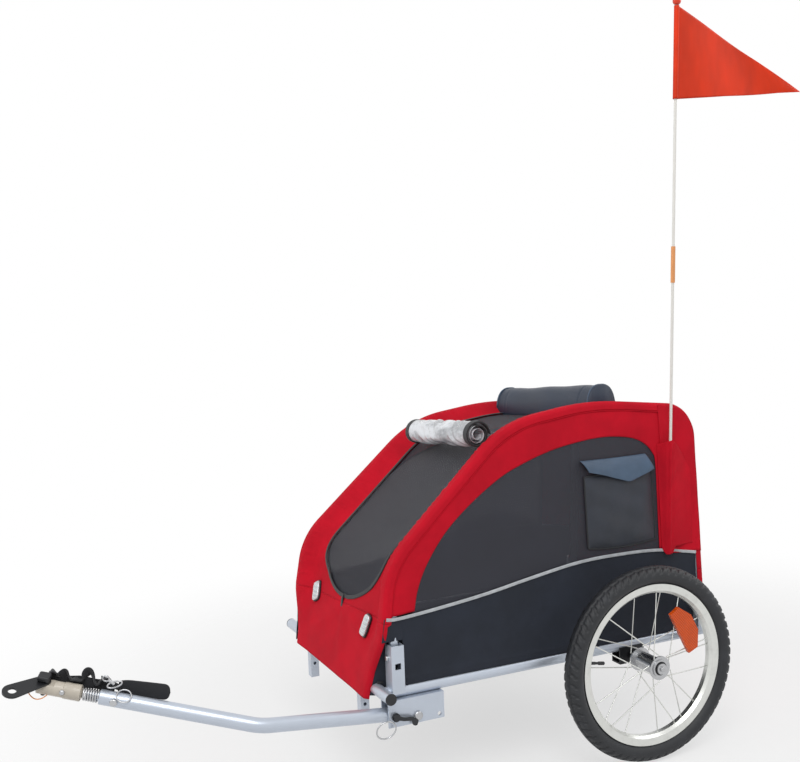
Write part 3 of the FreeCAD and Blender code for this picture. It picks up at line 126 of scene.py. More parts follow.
# Half widths of the cover's low front and of the corner cloths' edge, as (z, y)
HEM_FRONT = [(0.200, 0.2008), (0.213, 0.202), (0.256, 0.213), (0.289, 0.2285), (0.322, 0.2445),
             (SPLIT_Z, 0.2500)]
CORNER_EDGE = [(0.200, 0.1985), (0.213, 0.1995), (0.256, 0.210), (0.289, 0.2255), (0.322, 0.2415),
               (0.345, 0.2455)]

# Ridges below the door: y of the start at SPLIT_Z, (y, z) of the end, and height
FAN = [(0.0, (-0.155, 0.225), 0.0030), (0.010, (0.060, 0.205), 0.0018), (0.020, (0.150, 0.290), 0.0022),
       (-0.02, (-0.145, 0.300), 0.0020)]
FAN_WIDTH = 0.014

# Front reflectors as width, height, depth and crown, and the zip puller from the door's foot
LENS_Y, LENS_Z = 0.147, 0.3215
LENS_SIZE = (0.0255, 0.0415, 0.0072, 0.0012)
LENS_FRAME = (0.0290, 0.0450, 0.0040, 0.0001)
PULLER = [(0.003, 0, 0.004), (0.0052, 0, -0.004), (0.0068, 0, -0.016), (0.0088, 0, -0.028)]

# Rolls and flag
RAIN_X, RAIN_LOW, RAIN_HIGH = 0.2997, -0.104, 0.178
RAIN_SEAT, RAIN_CORE = 0.0165, 0.007
RAIN_TURNS, BOUND_TURNS = 3, 1.3
SUN_FAR, SUN_NEAR = np.array([0.0255, -0.1795, 0.6685]), np.array([0.0095, 0.1825, 0.7003])
SUN_HALF_WIDTH, SUN_HEIGHT = 0.0350, 0.0570
FLAG_LENGTH, FLAG_HEIGHT = 0.37, 0.19

# Tyre and valve sections, as (radius, along its own axis)
TYRE_HALF = [(0.1580, 0.0094), (0.1655, 0.0103), (0.1690, 0.0148), (0.1738, 0.0186), (0.1810, 0.0207),
             (0.1880, 0.0200), (0.1935, 0.0166), (0.1972, 0.0108), (0.1992, 0.0045), (0.1996, 0.0)]
TYRE_HALF_WIDTH = 0.0207
BLOCKS = 62
VALVE = [(0.0, 0.1435), (0.0031, 0.1435), (0.0031, 0.134), (0.0026, 0.133), (0.0026, 0.126), (0.0036, 0.1255),
         (0.0036, 0.1135), (0.0026, 0.1122), (0.0, 0.1120)]

# Hitch: routes in its own axes, the waves as (x, z), and sections as (radius, along)
STRAP_WAVES = [(0.1035, 0.0172), (0.0985, 0.0185), (0.0930, 0.0262), (0.0870, 0.0235), (0.0820, 0.0180),
               (0.0755, 0.0195), (0.0690, 0.0292), (0.0630, 0.0235), (0.0565, 0.0182), (0.0500, 0.0200),
               (0.0420, 0.0185), (0.0355, 0.0225), (0.0320, 0.0330), (0.0280, 0.0378), (0.0225, 0.0335),
               (0.0165, 0.0215), (0.0110, 0.0172), (0.0065, 0.0225), (0.0025, 0.0300), (-0.0045, 0.0265),
               (-0.0120, 0.0195), (-0.0200, 0.0180), (-0.0300, 0.0165)]
STRAP_UNDER = [(0.0995, -0.0162, 0.0135), (0.0750, -0.0170, 0.0125), (0.0480, -0.0168, 0.0140),
               (0.0270, -0.0160, 0.0150), (0.0060, -0.0168, 0.0155), (-0.0200, -0.0176, 0.0160)]
STRAP_END = [(-0.026, -0.0178, 0.0165), (-0.050, -0.0190, 0.0180), (-0.085, -0.0196, 0.0205),
             (-0.1185, -0.0190, 0.0230)]
HOOK_NECK = [(-0.0095, 0.003, 0.0338), (-0.0130, 0.003, 0.0322), (-0.0175, 0.003, 0.0302),
             (-0.0210, 0.003, 0.0282)]
BAIL = [(0.0900, 0.0112, -0.0102), (0.0990, 0.0095, -0.0188), (0.1100, 0.0065, -0.0226),
        (0.1205, 0.0035, -0.0186), (0.1262, 0.0010, -0.0105), (0.1242, -0.0010, -0.0010),
        (0.1175, -0.0020, 0.0040)]
SLEEVE_COLLAR = [(0.0137, 0.0640), (0.0146, 0.0632), (0.0147, 0.0350), (0.0143, 0.0338), (0.0136, 0.0337),
                 (0.0131, 0.0345), (0.0131, 0.0420), (0.0137, 0.0640)]
SLEEVE_MOUTH = [(0.0128, 0.0360), (0.0131, 0.0372), (0.0128, 0.0400), (0.0119, 0.0400), (0.0116, 0.0362),
                (0.0128, 0.0360)]
SLEEVE_BOLT = [(0.0, 0.0128), (0.0046, 0.0128), (0.0048, 0.0150), (0.0042, 0.0166), (0.0022, 0.0176),
               (0.0, 0.0178)]

# Meshes
WELD = 2e-6             # points closer than this are one point
CAP_UV = 0.005          # UV length of an end cap

# Stage; a lamp is its name, place, aim, width and power
CAMERA_AT = [1.374402, 2.139404, 0.990201]
CAMERA_RIGHT = np.array([-0.906087, 0.421403, -0.037754])
CAMERA_DOWN = np.array([0.071426, 0.0644, -0.995365])
CAMERA_AHEAD = np.array([-0.417019, -0.904584, -0.088451])
SENSOR, FOCAL_PIXELS, PHOTO_WIDTH = 36.0, 1136.585, 800
WORLD_LIGHT = 0.46
LAMPS = [("key", (1.4, 2.2, 3.2), (0.2, 0.1, 0.4), 2.2, 52.0),
         ("fill", (2.8, -0.6, 1.8), (0.2, 0, 0.4), 2.0, 16.0),
         ("back", (-2.2, 0.8, 2.4), (0, 0, 0.4), 1.8, 16.0)]


# Properties

def shade(code):
    """Display colour of a six-digit code, as three numbers from 0 to 1."""
    return tuple(int(code[i:i + 2], 16) / 255 for i in (0, 2, 4))


def size(name, about, default):
    return bpy.props.FloatProperty(name=name, description=about, default=default, unit="LENGTH", min=0.0)


def tint(name, about, code):
    return bpy.props.FloatVectorProperty(name=name, description=about, default=shade(code), size=3,
                                         subtype="COLOR_GAMMA", min=0.0, max=1.0)


class TrailerSizes(bpy.types.PropertyGroup):
    """Sizes of the cloth, the tyres and the trim."""
    sink: size("Sink", "How far the cloth sinks in between the two arches", 0.028)
    sink_slope: size("Sink slope", "Width of the slope from an arch down to the sunk cloth", 0.046)
    edge_round: size("Edge round", "Radius where the cover turns over an arch", 0.009)
    edge_lip: size("Edge lip", "How far the cover hangs down over a side", 0.008)
    pucker: size("Pucker", "Height of the gathers along the arch seams", 0.0021)
    cloth_thick: size("Cloth thickness", "Thickness of the cover's cloth", 0.0011)
    piping_width: size("Piping width", "Width of the grey piping", 0.0064)
    binding_width: size("Binding width", "Width of the door's black binding", 0.008)
    pocket_bulge: size("Pocket bulge", "How far the side pocket bulges", 0.009)
    rain_roll_radius: size("Rain roll radius", "Radius of the rolled rain flap", 0.0275)
    tread_depth: size("Tread depth", "Depth of the tyres' grooves", 0.0025)
    flag_wave: size("Flag wave", "Height of the flag's ripples", 0.006)
    strap_thick: size("Strap thickness", "Thickness of the safety strap", 0.0034)


class TrailerColours(bpy.types.PropertyGroup):
    """Colours of the finishes."""
    red: tint("Red cloth", "Cover cloth", "D0142A")
    dark: tint("Dark cloth", "Lower side cloth", "252A35")
    navy: tint("Roll cloth", "Rolled sun flap", "13253C")
    flap: tint("Pocket flap", "Flap of the side pocket", "465C74")
    screen: tint("Mesh", "Yarn of the windows", "1E1F28")
    piping: tint("Piping", "Reflective grey piping", "B4B8BC")
    black: tint("Black trim", "Binding, webbing and plastic", "1B1C20")
    tube: tint("Silver tube", "Painted tubes", "C4CCD8")
    rim: tint("Rim", "Polished rims and spokes", "D9DAD6")
    steel: tint("Steel", "Bolts, pins and springs", "B9BABC")
    sleeve: tint("Hitch sleeve", "Cream plastic sleeve", "D8CFC0")
    rubber: tint("Rubber", "Tyres", "202226")
    amber: tint("Amber reflector", "Spoke reflectors", "DC520A")
    clear: tint("Clear reflector", "Front reflectors", "C8CDD0")
    vinyl: tint("Vinyl", "Clear rain flap", "F2F5FA")
    rod: tint("Rod", "Flag pole", "EEECE6")
    ferrule: tint("Ferrule", "Pole joint", "E09A62")
    flag: tint("Flag", "Pennant", "DE3407")
    board: tint("Board", "Floor board", "2A2A2D")


def sizes():
    return bpy.context.scene.trailer_sizes


# Shader expressions

class Value:
    """Output of a shader node; arithmetic on it adds Math nodes."""

    def __init__(self, nodes, socket):
        self.nodes, self.socket = nodes, socket

    def math(self, operation, *values):
        return self.nodes.node("Math", {"operation": operation}, dict(enumerate(values)))

    def __add__(self, other):
        return self.math("ADD", self, other)

    def __radd__(self, other):
        return self.math("ADD", other, self)

    def __sub__(self, other):
        return self.math("SUBTRACT", self, other)

    def __mul__(self, other):
        return self.math("MULTIPLY", self, other)

    def sine(self):
        return self.math("SINE", self)

    def size(self):
        return self.math("ABSOLUTE", self)

    def power(self, other):
        return self.math("POWER", self, other)

    def most(self, other):
        return self.math("MAXIMUM", self, other)

    def ramp(self, low, high):
        """0 below low, 1 above high, smooth between."""
        limits = {0: self, 1: low, 2: high, 3: 0.0, 4: 1.0}
        return self.nodes.node("MapRange", {"interpolation_type": "SMOOTHSTEP"}, limits)


class Nodes:
    """Adds nodes to a shader tree."""

    def __init__(self, tree):
        self.tree = tree

    def node(self, kind, settings=None, inputs=None, output=0):
        made = self.tree.nodes.new("ShaderNode" + kind)
        for name, value in (settings or {}).items():
            setattr(made, name, value)
        for key, value in (inputs or {}).items():
            if isinstance(value, Value):
                self.tree.links.new(value.socket, made.inputs[key])
            else:
                made.inputs[key].default_value = value
        return Value(self, made.outputs[output])

    def place(self, kind="Object"):
        return self.node("TexCoord", output=kind)

    def axes(self, vector):
        split = self.node("SeparateXYZ", inputs={0: vector})
        outputs = split.socket.node.outputs
        return [Value(self, outputs[i]) for i in range(3)]

    def stretched(self, vector, x, y, z):
        return self.node("Mapping", inputs={"Vector": vector, "Scale": (x, y, z)})

    def noise(self, vector, scale, detail, rough=0.5):
        inputs = {"Vector": vector, "Scale": scale, "Detail": detail, "Roughness": rough}
        return self.node("TexNoise", inputs=inputs)

    def cells(self, vector, scale):
        return self.node("TexVoronoi", inputs={"Vector": vector, "Scale": scale})

    def mix(self, factor, first, second):
        return self.node("Mix", {"data_type": "RGBA"}, {0: factor, 6: first, 7: second}, output=2)

    def tones(self, factor, colour, low, high):
        """A colour between two brightnesses of itself."""
        return self.mix(factor, linear(colour, low), linear(colour, high))

    def weave(self, uv, pitch):
        """Heights of a plain weave's threads, from -1 to 1."""
        u, v = ((axis * (math.tau / pitch)).sine() for axis in self.axes(uv)[:2])
        return u * v

    def bump(self, height, strength, distance):
        return self.node("Bump", inputs={"Strength": strength, "Distance": distance, "Height": height})

    def seen(self):
        """1 on rays from the camera, from a reflection and through clear pieces, else 0."""
        kinds = ("Camera", "Glossy", "Transmission")
        first, second, third = (self.node("LightPath", output="Is %s Ray" % kind) for kind in kinds)
        return first.most(second).most(third)


class Finish(Nodes):
    """One material, built node by node round a principled shader."""

    def __init__(self, name):
        self.material = bpy.data.materials.new(name)
        self.material.use_nodes = True
        super().__init__(self.material.node_tree)
        self.shader = self.tree.nodes["Principled BSDF"]

    def set(self, **sockets):
        names = {"colour": "Base Color", "rough": "Roughness", "metal": "Metallic", "coat": "Coat Weight",
                 "alpha": "Alpha", "normal": "Normal", "sheen": "Sheen Weight",
                 "sheen_rough": "Sheen Roughness", "coat_rough": "Coat Roughness",
                 "specular": "Specular IOR Level"}
        for key, value in sockets.items():
            socket = self.shader.inputs[names[key]]
            if isinstance(value, Value):
                self.tree.links.new(value.socket, socket)
            else:
                socket.default_value = value
        return self.material


def linear(colour, scale):
    """Shader colour of a display colour, scaled in brightness."""
    c = np.asarray(colour[:3], float)
    c = np.where(c <= 0.04045, c / 12.92, ((c + 0.055) / 1.055) ** 2.4) * scale
    return (*np.clip(c, 0.0, 1.0).tolist(), 1.0)


# Finishes

def woven(name, colour, pitch=0.0011, rough=0.78, sheen=0.2, crease=0.25, worn=0.14, specular=0.3):
    """Plain weave on the cloth's own UV map: thread bumps, cloudy colour and soft creases."""
    f = Finish(name)
    uv = f.place("UV")
    threads = f.weave(uv, pitch)
    cloud = f.noise(uv, 9.0, 4.0, 0.6)
    fleck = f.noise(uv, 900.0, 2.0)
    folds = f.noise(f.stretched(uv, 1.0, 0.45, 1.0), 22.0, 3.0, 0.55)
    base = f.tones(cloud.ramp(0.3, 0.72), colour, 1.0 - worn, 1.0 + worn)
    base = f.mix((threads * 0.5 + 0.5) * 0.3 + fleck * 0.12, base, linear(colour, 0.72))
    height = threads * 0.12 + folds * crease * 6.0
    return f.set(colour=base, rough=rough + (cloud - 0.5) * 0.12, sheen=sheen, sheen_rough=0.4,
                 specular=specular, normal=f.bump(height, 0.45, 0.0012))


def screen(name, colour, cover, pitch=0.0014):
    """Open mesh: yarns both ways on the UV map, clear between them; a lower cover holds more light back."""
    f = Finish(name)
    uv = f.place("UV")
    u, v = f.axes(uv)[:2]
    k = math.pi / pitch
    warp = (u * k).sine().size()
    weft = (v * k).sine().size()
    yarn = warp.most(weft)
    cloud = f.noise(uv, 14.0, 3.0)
    base = f.tones(cloud, colour, 0.7, 1.5)
    base = f.mix(weft.ramp(0.75, 1.0) * 0.5, base, linear(colour, 2.6))
    return f.set(colour=base, rough=0.62, alpha=yarn.ramp(cover - 0.12, cover + 0.12),
                 normal=f.bump(yarn, 0.5, 0.0006))


def webbing(name, colour):
    """Narrow ribbed webbing on the UV map."""
    f = Finish(name)
    uv = f.place("UV")
    u, v = f.axes(uv)[:2]
    ribs = (v * (math.tau / 0.0018)).sine() * ((u * (math.tau / 0.0030)).sine() * 0.4 + 0.6)
    cloud = f.noise(uv, 60.0, 3.0)
    base = f.tones(cloud, colour, 0.75, 1.9)
    base = f.mix((ribs * 0.5 + 0.5) * 0.35, base, linear(colour, 0.4))
    return f.set(colour=base, rough=0.7 + cloud * 0.15, sheen=0.15, normal=f.bump(ribs, 0.5, 0.0006))


def painted(name, colour, metal=0.55, rough=0.34, grain=0.03, scuff=0.25):
    """Sprayed metallic paint: fine flake, cloudy gloss and small scuffs."""
    f = Finish(name)
    at = f.place()
    flake = f.noise(at, 1400.0, 1.0)
    cloud = f.noise(at, 16.0, 4.0, 0.6)
    scratches = f.noise(f.stretched(at, 1.0, 6.0, 6.0), 70.0, 5.0, 0.7).ramp(0.66, 0.76)
    base = f.tones(flake * 0.5 + cloud * 0.5, colour, 0.86, 1.1)
    base = f.mix(scratches * scuff, base, linear(colour, 0.5))
    return f.set(colour=base, metal=metal, rough=rough + (cloud - 0.5) * 0.16 + scratches * 0.2,
                 normal=f.bump(flake + cloud * 2.0, grain, 0.0004))


def polished(name, colour, rough=0.22, metal=1.0, dull=0.4):
    """Bare metal with a fine uneven gloss and dull spots."""
    f = Finish(name)
    at = f.place()
    gloss = f.noise(at, 260.0, 3.0, 0.6)
    spots = f.noise(at, 40.0, 4.0, 0.65)
    base = f.tones(spots.ramp(0.45, 0.75) * dull, colour, 1.0, 0.55)
    return f.set(colour=base, metal=metal, rough=rough + gloss * 0.14 + spots.ramp(0.5, 0.8) * 0.15,
                 normal=f.bump(gloss, 0.06, 0.0003))


def moulded(name, colour, rough=0.5, grain=700.0, coat=0.0, low=0.8, high=1.35):
    """Moulded plastic with a fine grain and a cloudy colour."""
    f = Finish(name)
    at = f.place()
    grains = f.cells(at, grain)
    cloud = f.noise(at, 30.0, 4.0, 0.6)
    base = f.tones(cloud.ramp(0.35, 0.7), colour, low, high)
    return f.set(colour=base, rough=rough + (cloud - 0.5) * 0.2, coat=coat,
                 normal=f.bump(grains, 0.2, 0.0004))


def rubber(name, colour):
    """Tyre rubber: dusty in places, finely pitted."""
    f = Finish(name)
    at = f.place()
    dust = f.noise(at, 24.0, 5.0, 0.65)
    pits = f.noise(at, 900.0, 2.0)
    base = f.tones(dust.ramp(0.42, 0.78), colour, 0.9, 1.7)
    return f.set(colour=base, rough=0.44 + dust * 0.2, normal=f.bump(pits + dust, 0.25, 0.0005))


def prismatic(name, colour, pitch, coat=1.0, metal=0.0, rough=0.18):
    """Reflector lens: small prisms in diagonal rows under a smooth face."""
    f = Finish(name)
    at = f.place()
    x, z = f.axes(at)[::2]
    k = math.pi / pitch * 0.7071
    ribs = ((x + z) * k).sine().size() * ((x - z) * k).sine().size()
    cloud = f.noise(at, 60.0, 3.0)
    base = f.tones(ribs.ramp(0.1, 0.8), colour, 0.78, 1.12)
    base = f.mix(cloud.ramp(0.5, 0.8) * 0.25, base, linear(colour, 1.3))
    return f.set(colour=base, rough=rough + ribs * 0.1, metal=metal, coat=coat, coat_rough=0.1, specular=0.3,
                 normal=f.bump(ribs, 0.35, 0.0008))


def clear_film(name, colour, held):
    """Clear vinyl: mostly see-through, milky in the creases, glossy."""
    f = Finish(name)
    uv = f.place("UV")
    creases = f.noise(f.stretched(uv, 1.0, 0.6, 1.0), 19.0, 4.0, 0.62)
    fine = f.noise(uv, 150.0, 3.0)
    milky = creases.ramp(0.36, 0.60)
    base = f.tones(milky, colour, 0.72, 1.0)
    return f.set(colour=base, rough=0.1 + fine * 0.12, alpha=held + milky * 0.45, coat=0.5, coat_rough=0.05,
                 normal=f.bump(creases * 3.0 + fine, 0.6, 0.002))


def sheeted(name, colour):
    """Vinyl-coated flag cloth: fine weave under a soft gloss, and long soft ripples with painted light on
    crests and painted shade in troughs.
    """
    f = Finish(name)
    uv = f.place("UV")
    threads = f.weave(uv, 0.0012)
    ripple = f.noise(f.stretched(uv, 0.6, 1.6, 1.0), 7.0, 3.0)
    # Painted light and shade: the colour is lighter on the ripples' crests and darker in their troughs,
    # following the bump below.
    base = f.tones(ripple.ramp(0.3, 0.7), colour, 0.82, 1.22)
    return f.set(colour=base, rough=0.42 + ripple * 0.1, specular=0.25,
                 normal=f.bump(threads * 0.1 + ripple * 2.0, 0.3, 0.0016))


def fibre_rod(name, colour):
    """Pultruded rod: long pale fibres."""
    f = Finish(name)
    at = f.place()
    fibres = f.noise(f.stretched(at, 1.0, 1.0, 0.04), 700.0, 3.0)
    base = f.tones(fibres, colour, 0.86, 1.05)
    return f.set(colour=base, rough=0.3 + fibres * 0.15, coat=0.3, normal=f.bump(fibres, 0.1, 0.0003))


FINISHES = {}


def finish(key):
    """A finish by its key, made once."""
    if key not in FINISHES:
        c = bpy.context.scene.trailer_colours
        makers = {
            "red": lambda: woven("red_cloth", c.red, sheen=0.0, specular=0.14),
            "dark": lambda: woven("dark_cloth", c.dark, rough=0.7, sheen=0.04, crease=0.2, worn=0.25),
            "navy": lambda: woven("roll_cloth", c.navy, rough=0.42, sheen=0.06, crease=0.1,
                                  worn=0.16, specular=0.5),
            "flap": lambda: woven("flap_cloth", c.flap, rough=0.45, sheen=0.1, crease=0.6,
                                  worn=0.24, specular=0.5),
            "pocket": lambda: woven("pocket_cloth", c.dark, rough=0.5, sheen=0.12, crease=0.6,
                                  worn=0.3, specular=0.5),
            "front_screen": lambda: screen("door_mesh", c.screen, 0.76),
            "side_screen": lambda: screen("window_mesh", c.screen, 0.40),
            "piping": lambda: webbing("grey_piping", c.piping),
            "black_web": lambda: webbing("black_webbing", c.black),
            "tube": lambda: painted("silver_paint", c.tube),
            "rim": lambda: polished("rim_alloy", c.rim, rough=0.24, dull=0.25),
            "spoke": lambda: polished("spoke_wire", c.rim, rough=0.28, dull=0.2),
            "steel": lambda: polished("bright_steel", c.steel, rough=0.2, dull=0.2),
            "dark_steel": lambda: painted("black_steel", c.black, metal=0.2, rough=0.42, scuff=0.15),
            "grey_steel": lambda: painted("grey_steel", c.steel, metal=0.7, rough=0.38),
            "plastic": lambda: moulded("black_plastic", c.black),
            "sleeve": lambda: moulded("cream_plastic", c.sleeve, rough=0.42, coat=0.2, low=0.84, high=0.98),
            "board": lambda: moulded("floor_board", c.board, rough=0.65, grain=260.0),
            "rubber": lambda: rubber("tyre_rubber", c.rubber),
            "amber": lambda: prismatic("amber_lens", c.amber, 0.0042, coat=0.15),
            "clear": lambda: prismatic("clear_lens", c.clear, 0.0036, metal=0.55, rough=0.14),
            "vinyl": lambda: clear_film("clear_vinyl", c.vinyl, held=0.5),
            "wire": lambda: polished("copper_wire", c.ferrule, rough=0.3, metal=0.7, dull=0.3),
            "rod": lambda: fibre_rod("pole_rod", c.rod),
            "ferrule": lambda: polished("ferrule_metal", c.ferrule, rough=0.34, metal=0.35),
            "flag": lambda: sheeted("flag_cloth", c.flag),
            "ball": lambda: moulded("flag_ball", c.flag, rough=0.35, coat=0.3),
        }
        FINISHES[key] = makers[key]()
    return FINISHES[key]


NODE_FINISH = {
    "tube": ["left_rail", "right_rail", "front_cross_tube", "rear_cross_tube", "left_posts", "right_posts",
             "left_arch", "right_arch", "tow_bar", "tow_bracket", "front_leg_sockets"],
    "rim": ["left_rim", "right_rim"],
    "spoke": ["left_spokes", "right_spokes"],
    "steel": ["left_hub", "right_hub", "wheel_axles", "post_pivot_bolts", "tow_pivot_bolt", "hitch_bolts",
              "strap_ring", "hitch_spring"],
    "dark_steel": ["axle_brackets", "hitch_plate", "left_bearings", "right_bearings"],
    "grey_steel": ["left_release_button", "right_release_button"],
    "plastic": ["tube_plugs", "hitch_pin", "tow_lock_pin"],
    "sleeve": ["hitch_sleeve"],
    "board": ["floor_panel"],
    "amber": ["left_reflector", "right_reflector"],
    "rod": ["flag_pole"],
    "ferrule": ["pole_ferrule"],
    "ball": ["flag_finial"],
}


# Shapes

def unit(vectors):
    return vectors / np.maximum(np.linalg.norm(vectors, axis=-1, keepdims=True), 1e-12)


def travelled(path):
    """Length along a polyline at each of its points."""
    return np.concatenate([[0.0], np.cumsum(np.linalg.norm(np.diff(path, axis=0), axis=1))])


def spaced(path, count):
    """A polyline's points at equal steps of length."""
    run = travelled(path)
    at = np.linspace(0.0, run[-1], count)
    return np.stack([np.interp(at, run, path[:, k]) for k in range(path.shape[1])], -1)


def rounded_path(points, radii, steps=24):
    """Open outline: straight runs joined by tangent arcs of the given radii."""
    corners = np.asarray(points, float)
    parts = [corners[:1]]
    for before, corner, after, radius in zip(corners, corners[1:], corners[2:], radii):
        back, ahead = unit(before - corner), unit(after - corner)
        half = math.acos(float(back @ ahead)) / 2
        centre = corner + unit(back + ahead) * radius / math.sin(half)
        reach = radius / math.tan(half)
        low, high = corner + back * reach - centre, corner + ahead * reach - centre
        sweep = math.pi - 2 * half
        t = np.linspace(0.0, 1.0, steps)[:, None]
        parts.append(centre + (np.sin((1 - t) * sweep) * low + np.sin(t * sweep) * high) / math.sin(sweep))
    parts.append(corners[-1:])
    return np.concatenate(parts)


def through(points, count):
    """Smooth open curve through points: cubic pieces whose tangents follow the neighbours (Catmull-Rom)."""
    p = np.asarray(points, float)
    ends = np.concatenate([2 * p[:1] - p[1:2], p, 2 * p[-1:] - p[-2:-1]])
    t = np.linspace(0, len(p) - 1 - 1e-9, count * 4)
    i, f = t.astype(int), (t % 1.0)[:, None]
    a, b, c, d = ends[i], ends[i + 1], ends[i + 2], ends[i + 3]
    square, cube = 2 * a - 5 * b + 4 * c - d, 3 * b - a - 3 * c + d
    return spaced(0.5 * (2 * b + (c - a) * f + square * f ** 2 + cube * f ** 3), count)


def on_side(x, out, z, side):
    """Points of a leaning side: x, distance out of the arch's plane, and the left side's height unleaned."""
    rise = z - PIVOT_Z[1]
    y = RAIL_Y + out * math.cos(LEAN) - rise * math.sin(LEAN)
    height = PIVOT_Z[side] + rise * math.cos(LEAN) + out * math.sin(LEAN)
    return np.stack(np.broadcast_arrays(x, side * y, height), -1)


def flat_uv(points):
    """UV of a grid: lengths along its rows and columns, in metres, from its first corner."""
    along = np.linalg.norm(np.diff(points, axis=0), axis=-1)
    across = np.linalg.norm(np.diff(points, axis=1), axis=-1)
    v = np.concatenate([np.zeros((1, points.shape[1])), np.cumsum(along, axis=0)])
    u = np.concatenate([np.zeros((points.shape[0], 1)), np.cumsum(across, axis=1)], axis=1)
    return np.stack([u, v], -1)


def grid_part(points, uv=None, keep=None, flip=False):
    """A grid of points as mesh data: quads between neighbours, those of keep only."""
    rows, cols = points.shape[:2]
    a, b = np.meshgrid(np.arange(rows - 1), np.arange(cols - 1), indexing="ij")
    quads = np.stack([a * cols + b, (a + 1) * cols + b, (a + 1) * cols + b + 1, a * cols + b + 1], -1)
    quads = quads[keep] if keep is not None else quads.reshape(-1, 4)
    if flip:
        quads = quads[:, ::-1]
    uv = flat_uv(points) if uv is None else uv
    return points.reshape(-1, 3), uv.reshape(-1, 2), quads


def make(name, parts, key, body=None, stands_for=(), folds=False, thick=0.0, closed=True):
    """A finished piece of several grid parts: welds seams and poles, sets UVs and finish.

    It stands for the named nodes, rides on the body, and gets a mesh of its own if it folds. A piece with a
    wall thickness is a sheet. One without is a closed shell and is turned outwards, unless closed is off.
    """
    starts = np.cumsum([0] + [len(p[0]) for p in parts])
    points = np.concatenate([p[0] for p in parts])
    uv = np.concatenate([p[1] for p in parts])
    quads = np.concatenate([p[2] + s for p, s in zip(parts, starts)])
    mesh = bpy.data.meshes.new(name)
    mesh.from_pydata(points.tolist(), [], quads.tolist())
    corner = np.empty(len(mesh.loops), np.int32)
    mesh.loops.foreach_get("vertex_index", corner)
    mesh.uv_layers.new(name="cloth").data.foreach_set("uv", uv[corner].astype(np.float32).ravel())
    mesh.materials.append(finish(key))
    mesh.polygons.foreach_set("use_smooth", np.ones(len(mesh.polygons), bool))
    work = bmesh.new()
    work.from_mesh(mesh)
    bmesh.ops.remove_doubles(work, verts=work.verts, dist=WELD)
    loose = [v for v in work.verts if not v.link_faces]
    bmesh.ops.delete(work, geom=loose, context="VERTS")
    if closed and not thick:
        bmesh.ops.recalc_face_normals(work, faces=work.faces)
    work.to_mesh(mesh)
    work.free()
    piece = bpy.data.objects.new(name, mesh)
    bpy.context.scene.collection.objects.link(piece)
    if thick:
        wall = piece.modifiers.new("wall", "SOLIDIFY")
        wall.thickness, wall.offset = thick, -1.0
    if stands_for:
        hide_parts(*stands_for)
    if body:
        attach(piece, body)
    if folds:
        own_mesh(piece)
    return piece


def area_of(parts):
    """Area of grid parts."""
    total = 0.0
    for points, uv, quads in parts:
        a, b, c, d = (points[quads[:, k]] for k in range(4))
        total += float(np.linalg.norm(np.cross(c - a, d - b), axis=-1).sum() / 2)
    return total


def lay(piece, parts):
    """Works out the area of a piece's grid parts; the result is not kept."""
    area_of(parts)


def carried(path, profile, ref, caps=True, scale=1.0, twist=0.0, ring=False):
    """A closed profile carried along a path, lying across its tangent and turned to a reference vector.

    A ring's path is given without its first point again at the end, and its last section is its first one.
    """
    path = np.asarray(path, float)
    if ring:
        path = np.concatenate([path[-1:], path, path[:2]])
    tangent = unit(np.gradient(path, axis=0))
    if ring:
        path, tangent, caps = path[1:-1], tangent[1:-1], False
    across = unit(np.cross(tangent, np.broadcast_to(ref, path.shape)))
    above = np.cross(tangent, across)
    angle = np.broadcast_to(twist, len(path))[:, None]
    first = across * np.cos(angle) + above * np.sin(angle)
    second = above * np.cos(angle) - across * np.sin(angle)
    loop = np.concatenate([profile, profile[:1]])
    spread = loop[None, :, :1] * first[:, None] + loop[None, :, 1:] * second[:, None]
    rings = path[:, None] + np.broadcast_to(scale, len(path))[:, None, None] * spread
    uv = np.stack(np.broadcast_arrays(travelled(loop)[None, :], travelled(path)[:, None]), -1)
    if caps:
        start, end = (np.repeat(path[k, None, None], len(loop), 1) for k in (0, -1))
        rings = np.concatenate([start, rings, end])
        uv = np.concatenate([uv[:1] - [0, CAP_UV], uv, uv[-1:] + [0, CAP_UV]])
    return grid_part(rings, uv)


def bent(value, power):
    """The size of a value to a power, with the value's sign."""
    return np.sign(value) * np.abs(value) ** power


def round_profile(radius, sides):
    turn = np.linspace(0, math.tau, sides, endpoint=False)
    return radius * np.stack([np.cos(turn), np.sin(turn)], -1)


def flat_profile(width, thick, sides=20):
    """Rounded flat section: a superellipse."""
    turn = np.linspace(0, math.tau, sides, endpoint=False)
    return np.stack([width / 2 * bent(np.cos(turn), 2 / 6.0), thick / 2 * bent(np.sin(turn), 2 / 2.6)], -1)


def smooth(value, low, high):
    t = np.clip((value - low) / (high - low), 0, 1)
    return t * t * (3 - 2 * t)


def bell(value, middle, width):
    return np.exp(-((value - middle) / width) ** 2)


def spun(profile, centre, axis, turns):
    """A (radius, along) profile turned about an axis through centre."""
    axis = unit(np.asarray(axis, float))
    side = unit(np.cross(axis, [0.31, 0.17, 0.93]))
    up = np.cross(axis, side)
    turn = np.linspace(0, math.tau, turns + 1)
    ring = np.cos(turn)[:, None] * side + np.sin(turn)[:, None] * up
    profile = np.asarray(profile, float)
    return grid_part(np.asarray(centre) + profile[None, :, :1] * ring[:, None] + profile[None, :, 1:] * axis)


# Cover between the arches

def front_edge(z):
    """How far forward the straight low front of the cover reaches at a height."""
    return COVER_OUTLINE[0][0] - FRONT_SLOPE * (z - COVER_OUTLINE[0][1])


def cover_line():
    """The cover's side outline as close points, and its outward normals."""
    path = spaced(rounded_path(COVER_OUTLINE, COVER_RADII), 3000)
    return path, unit(np.stack([np.gradient(path[:, 1]), -np.gradient(path[:, 0])], -1))


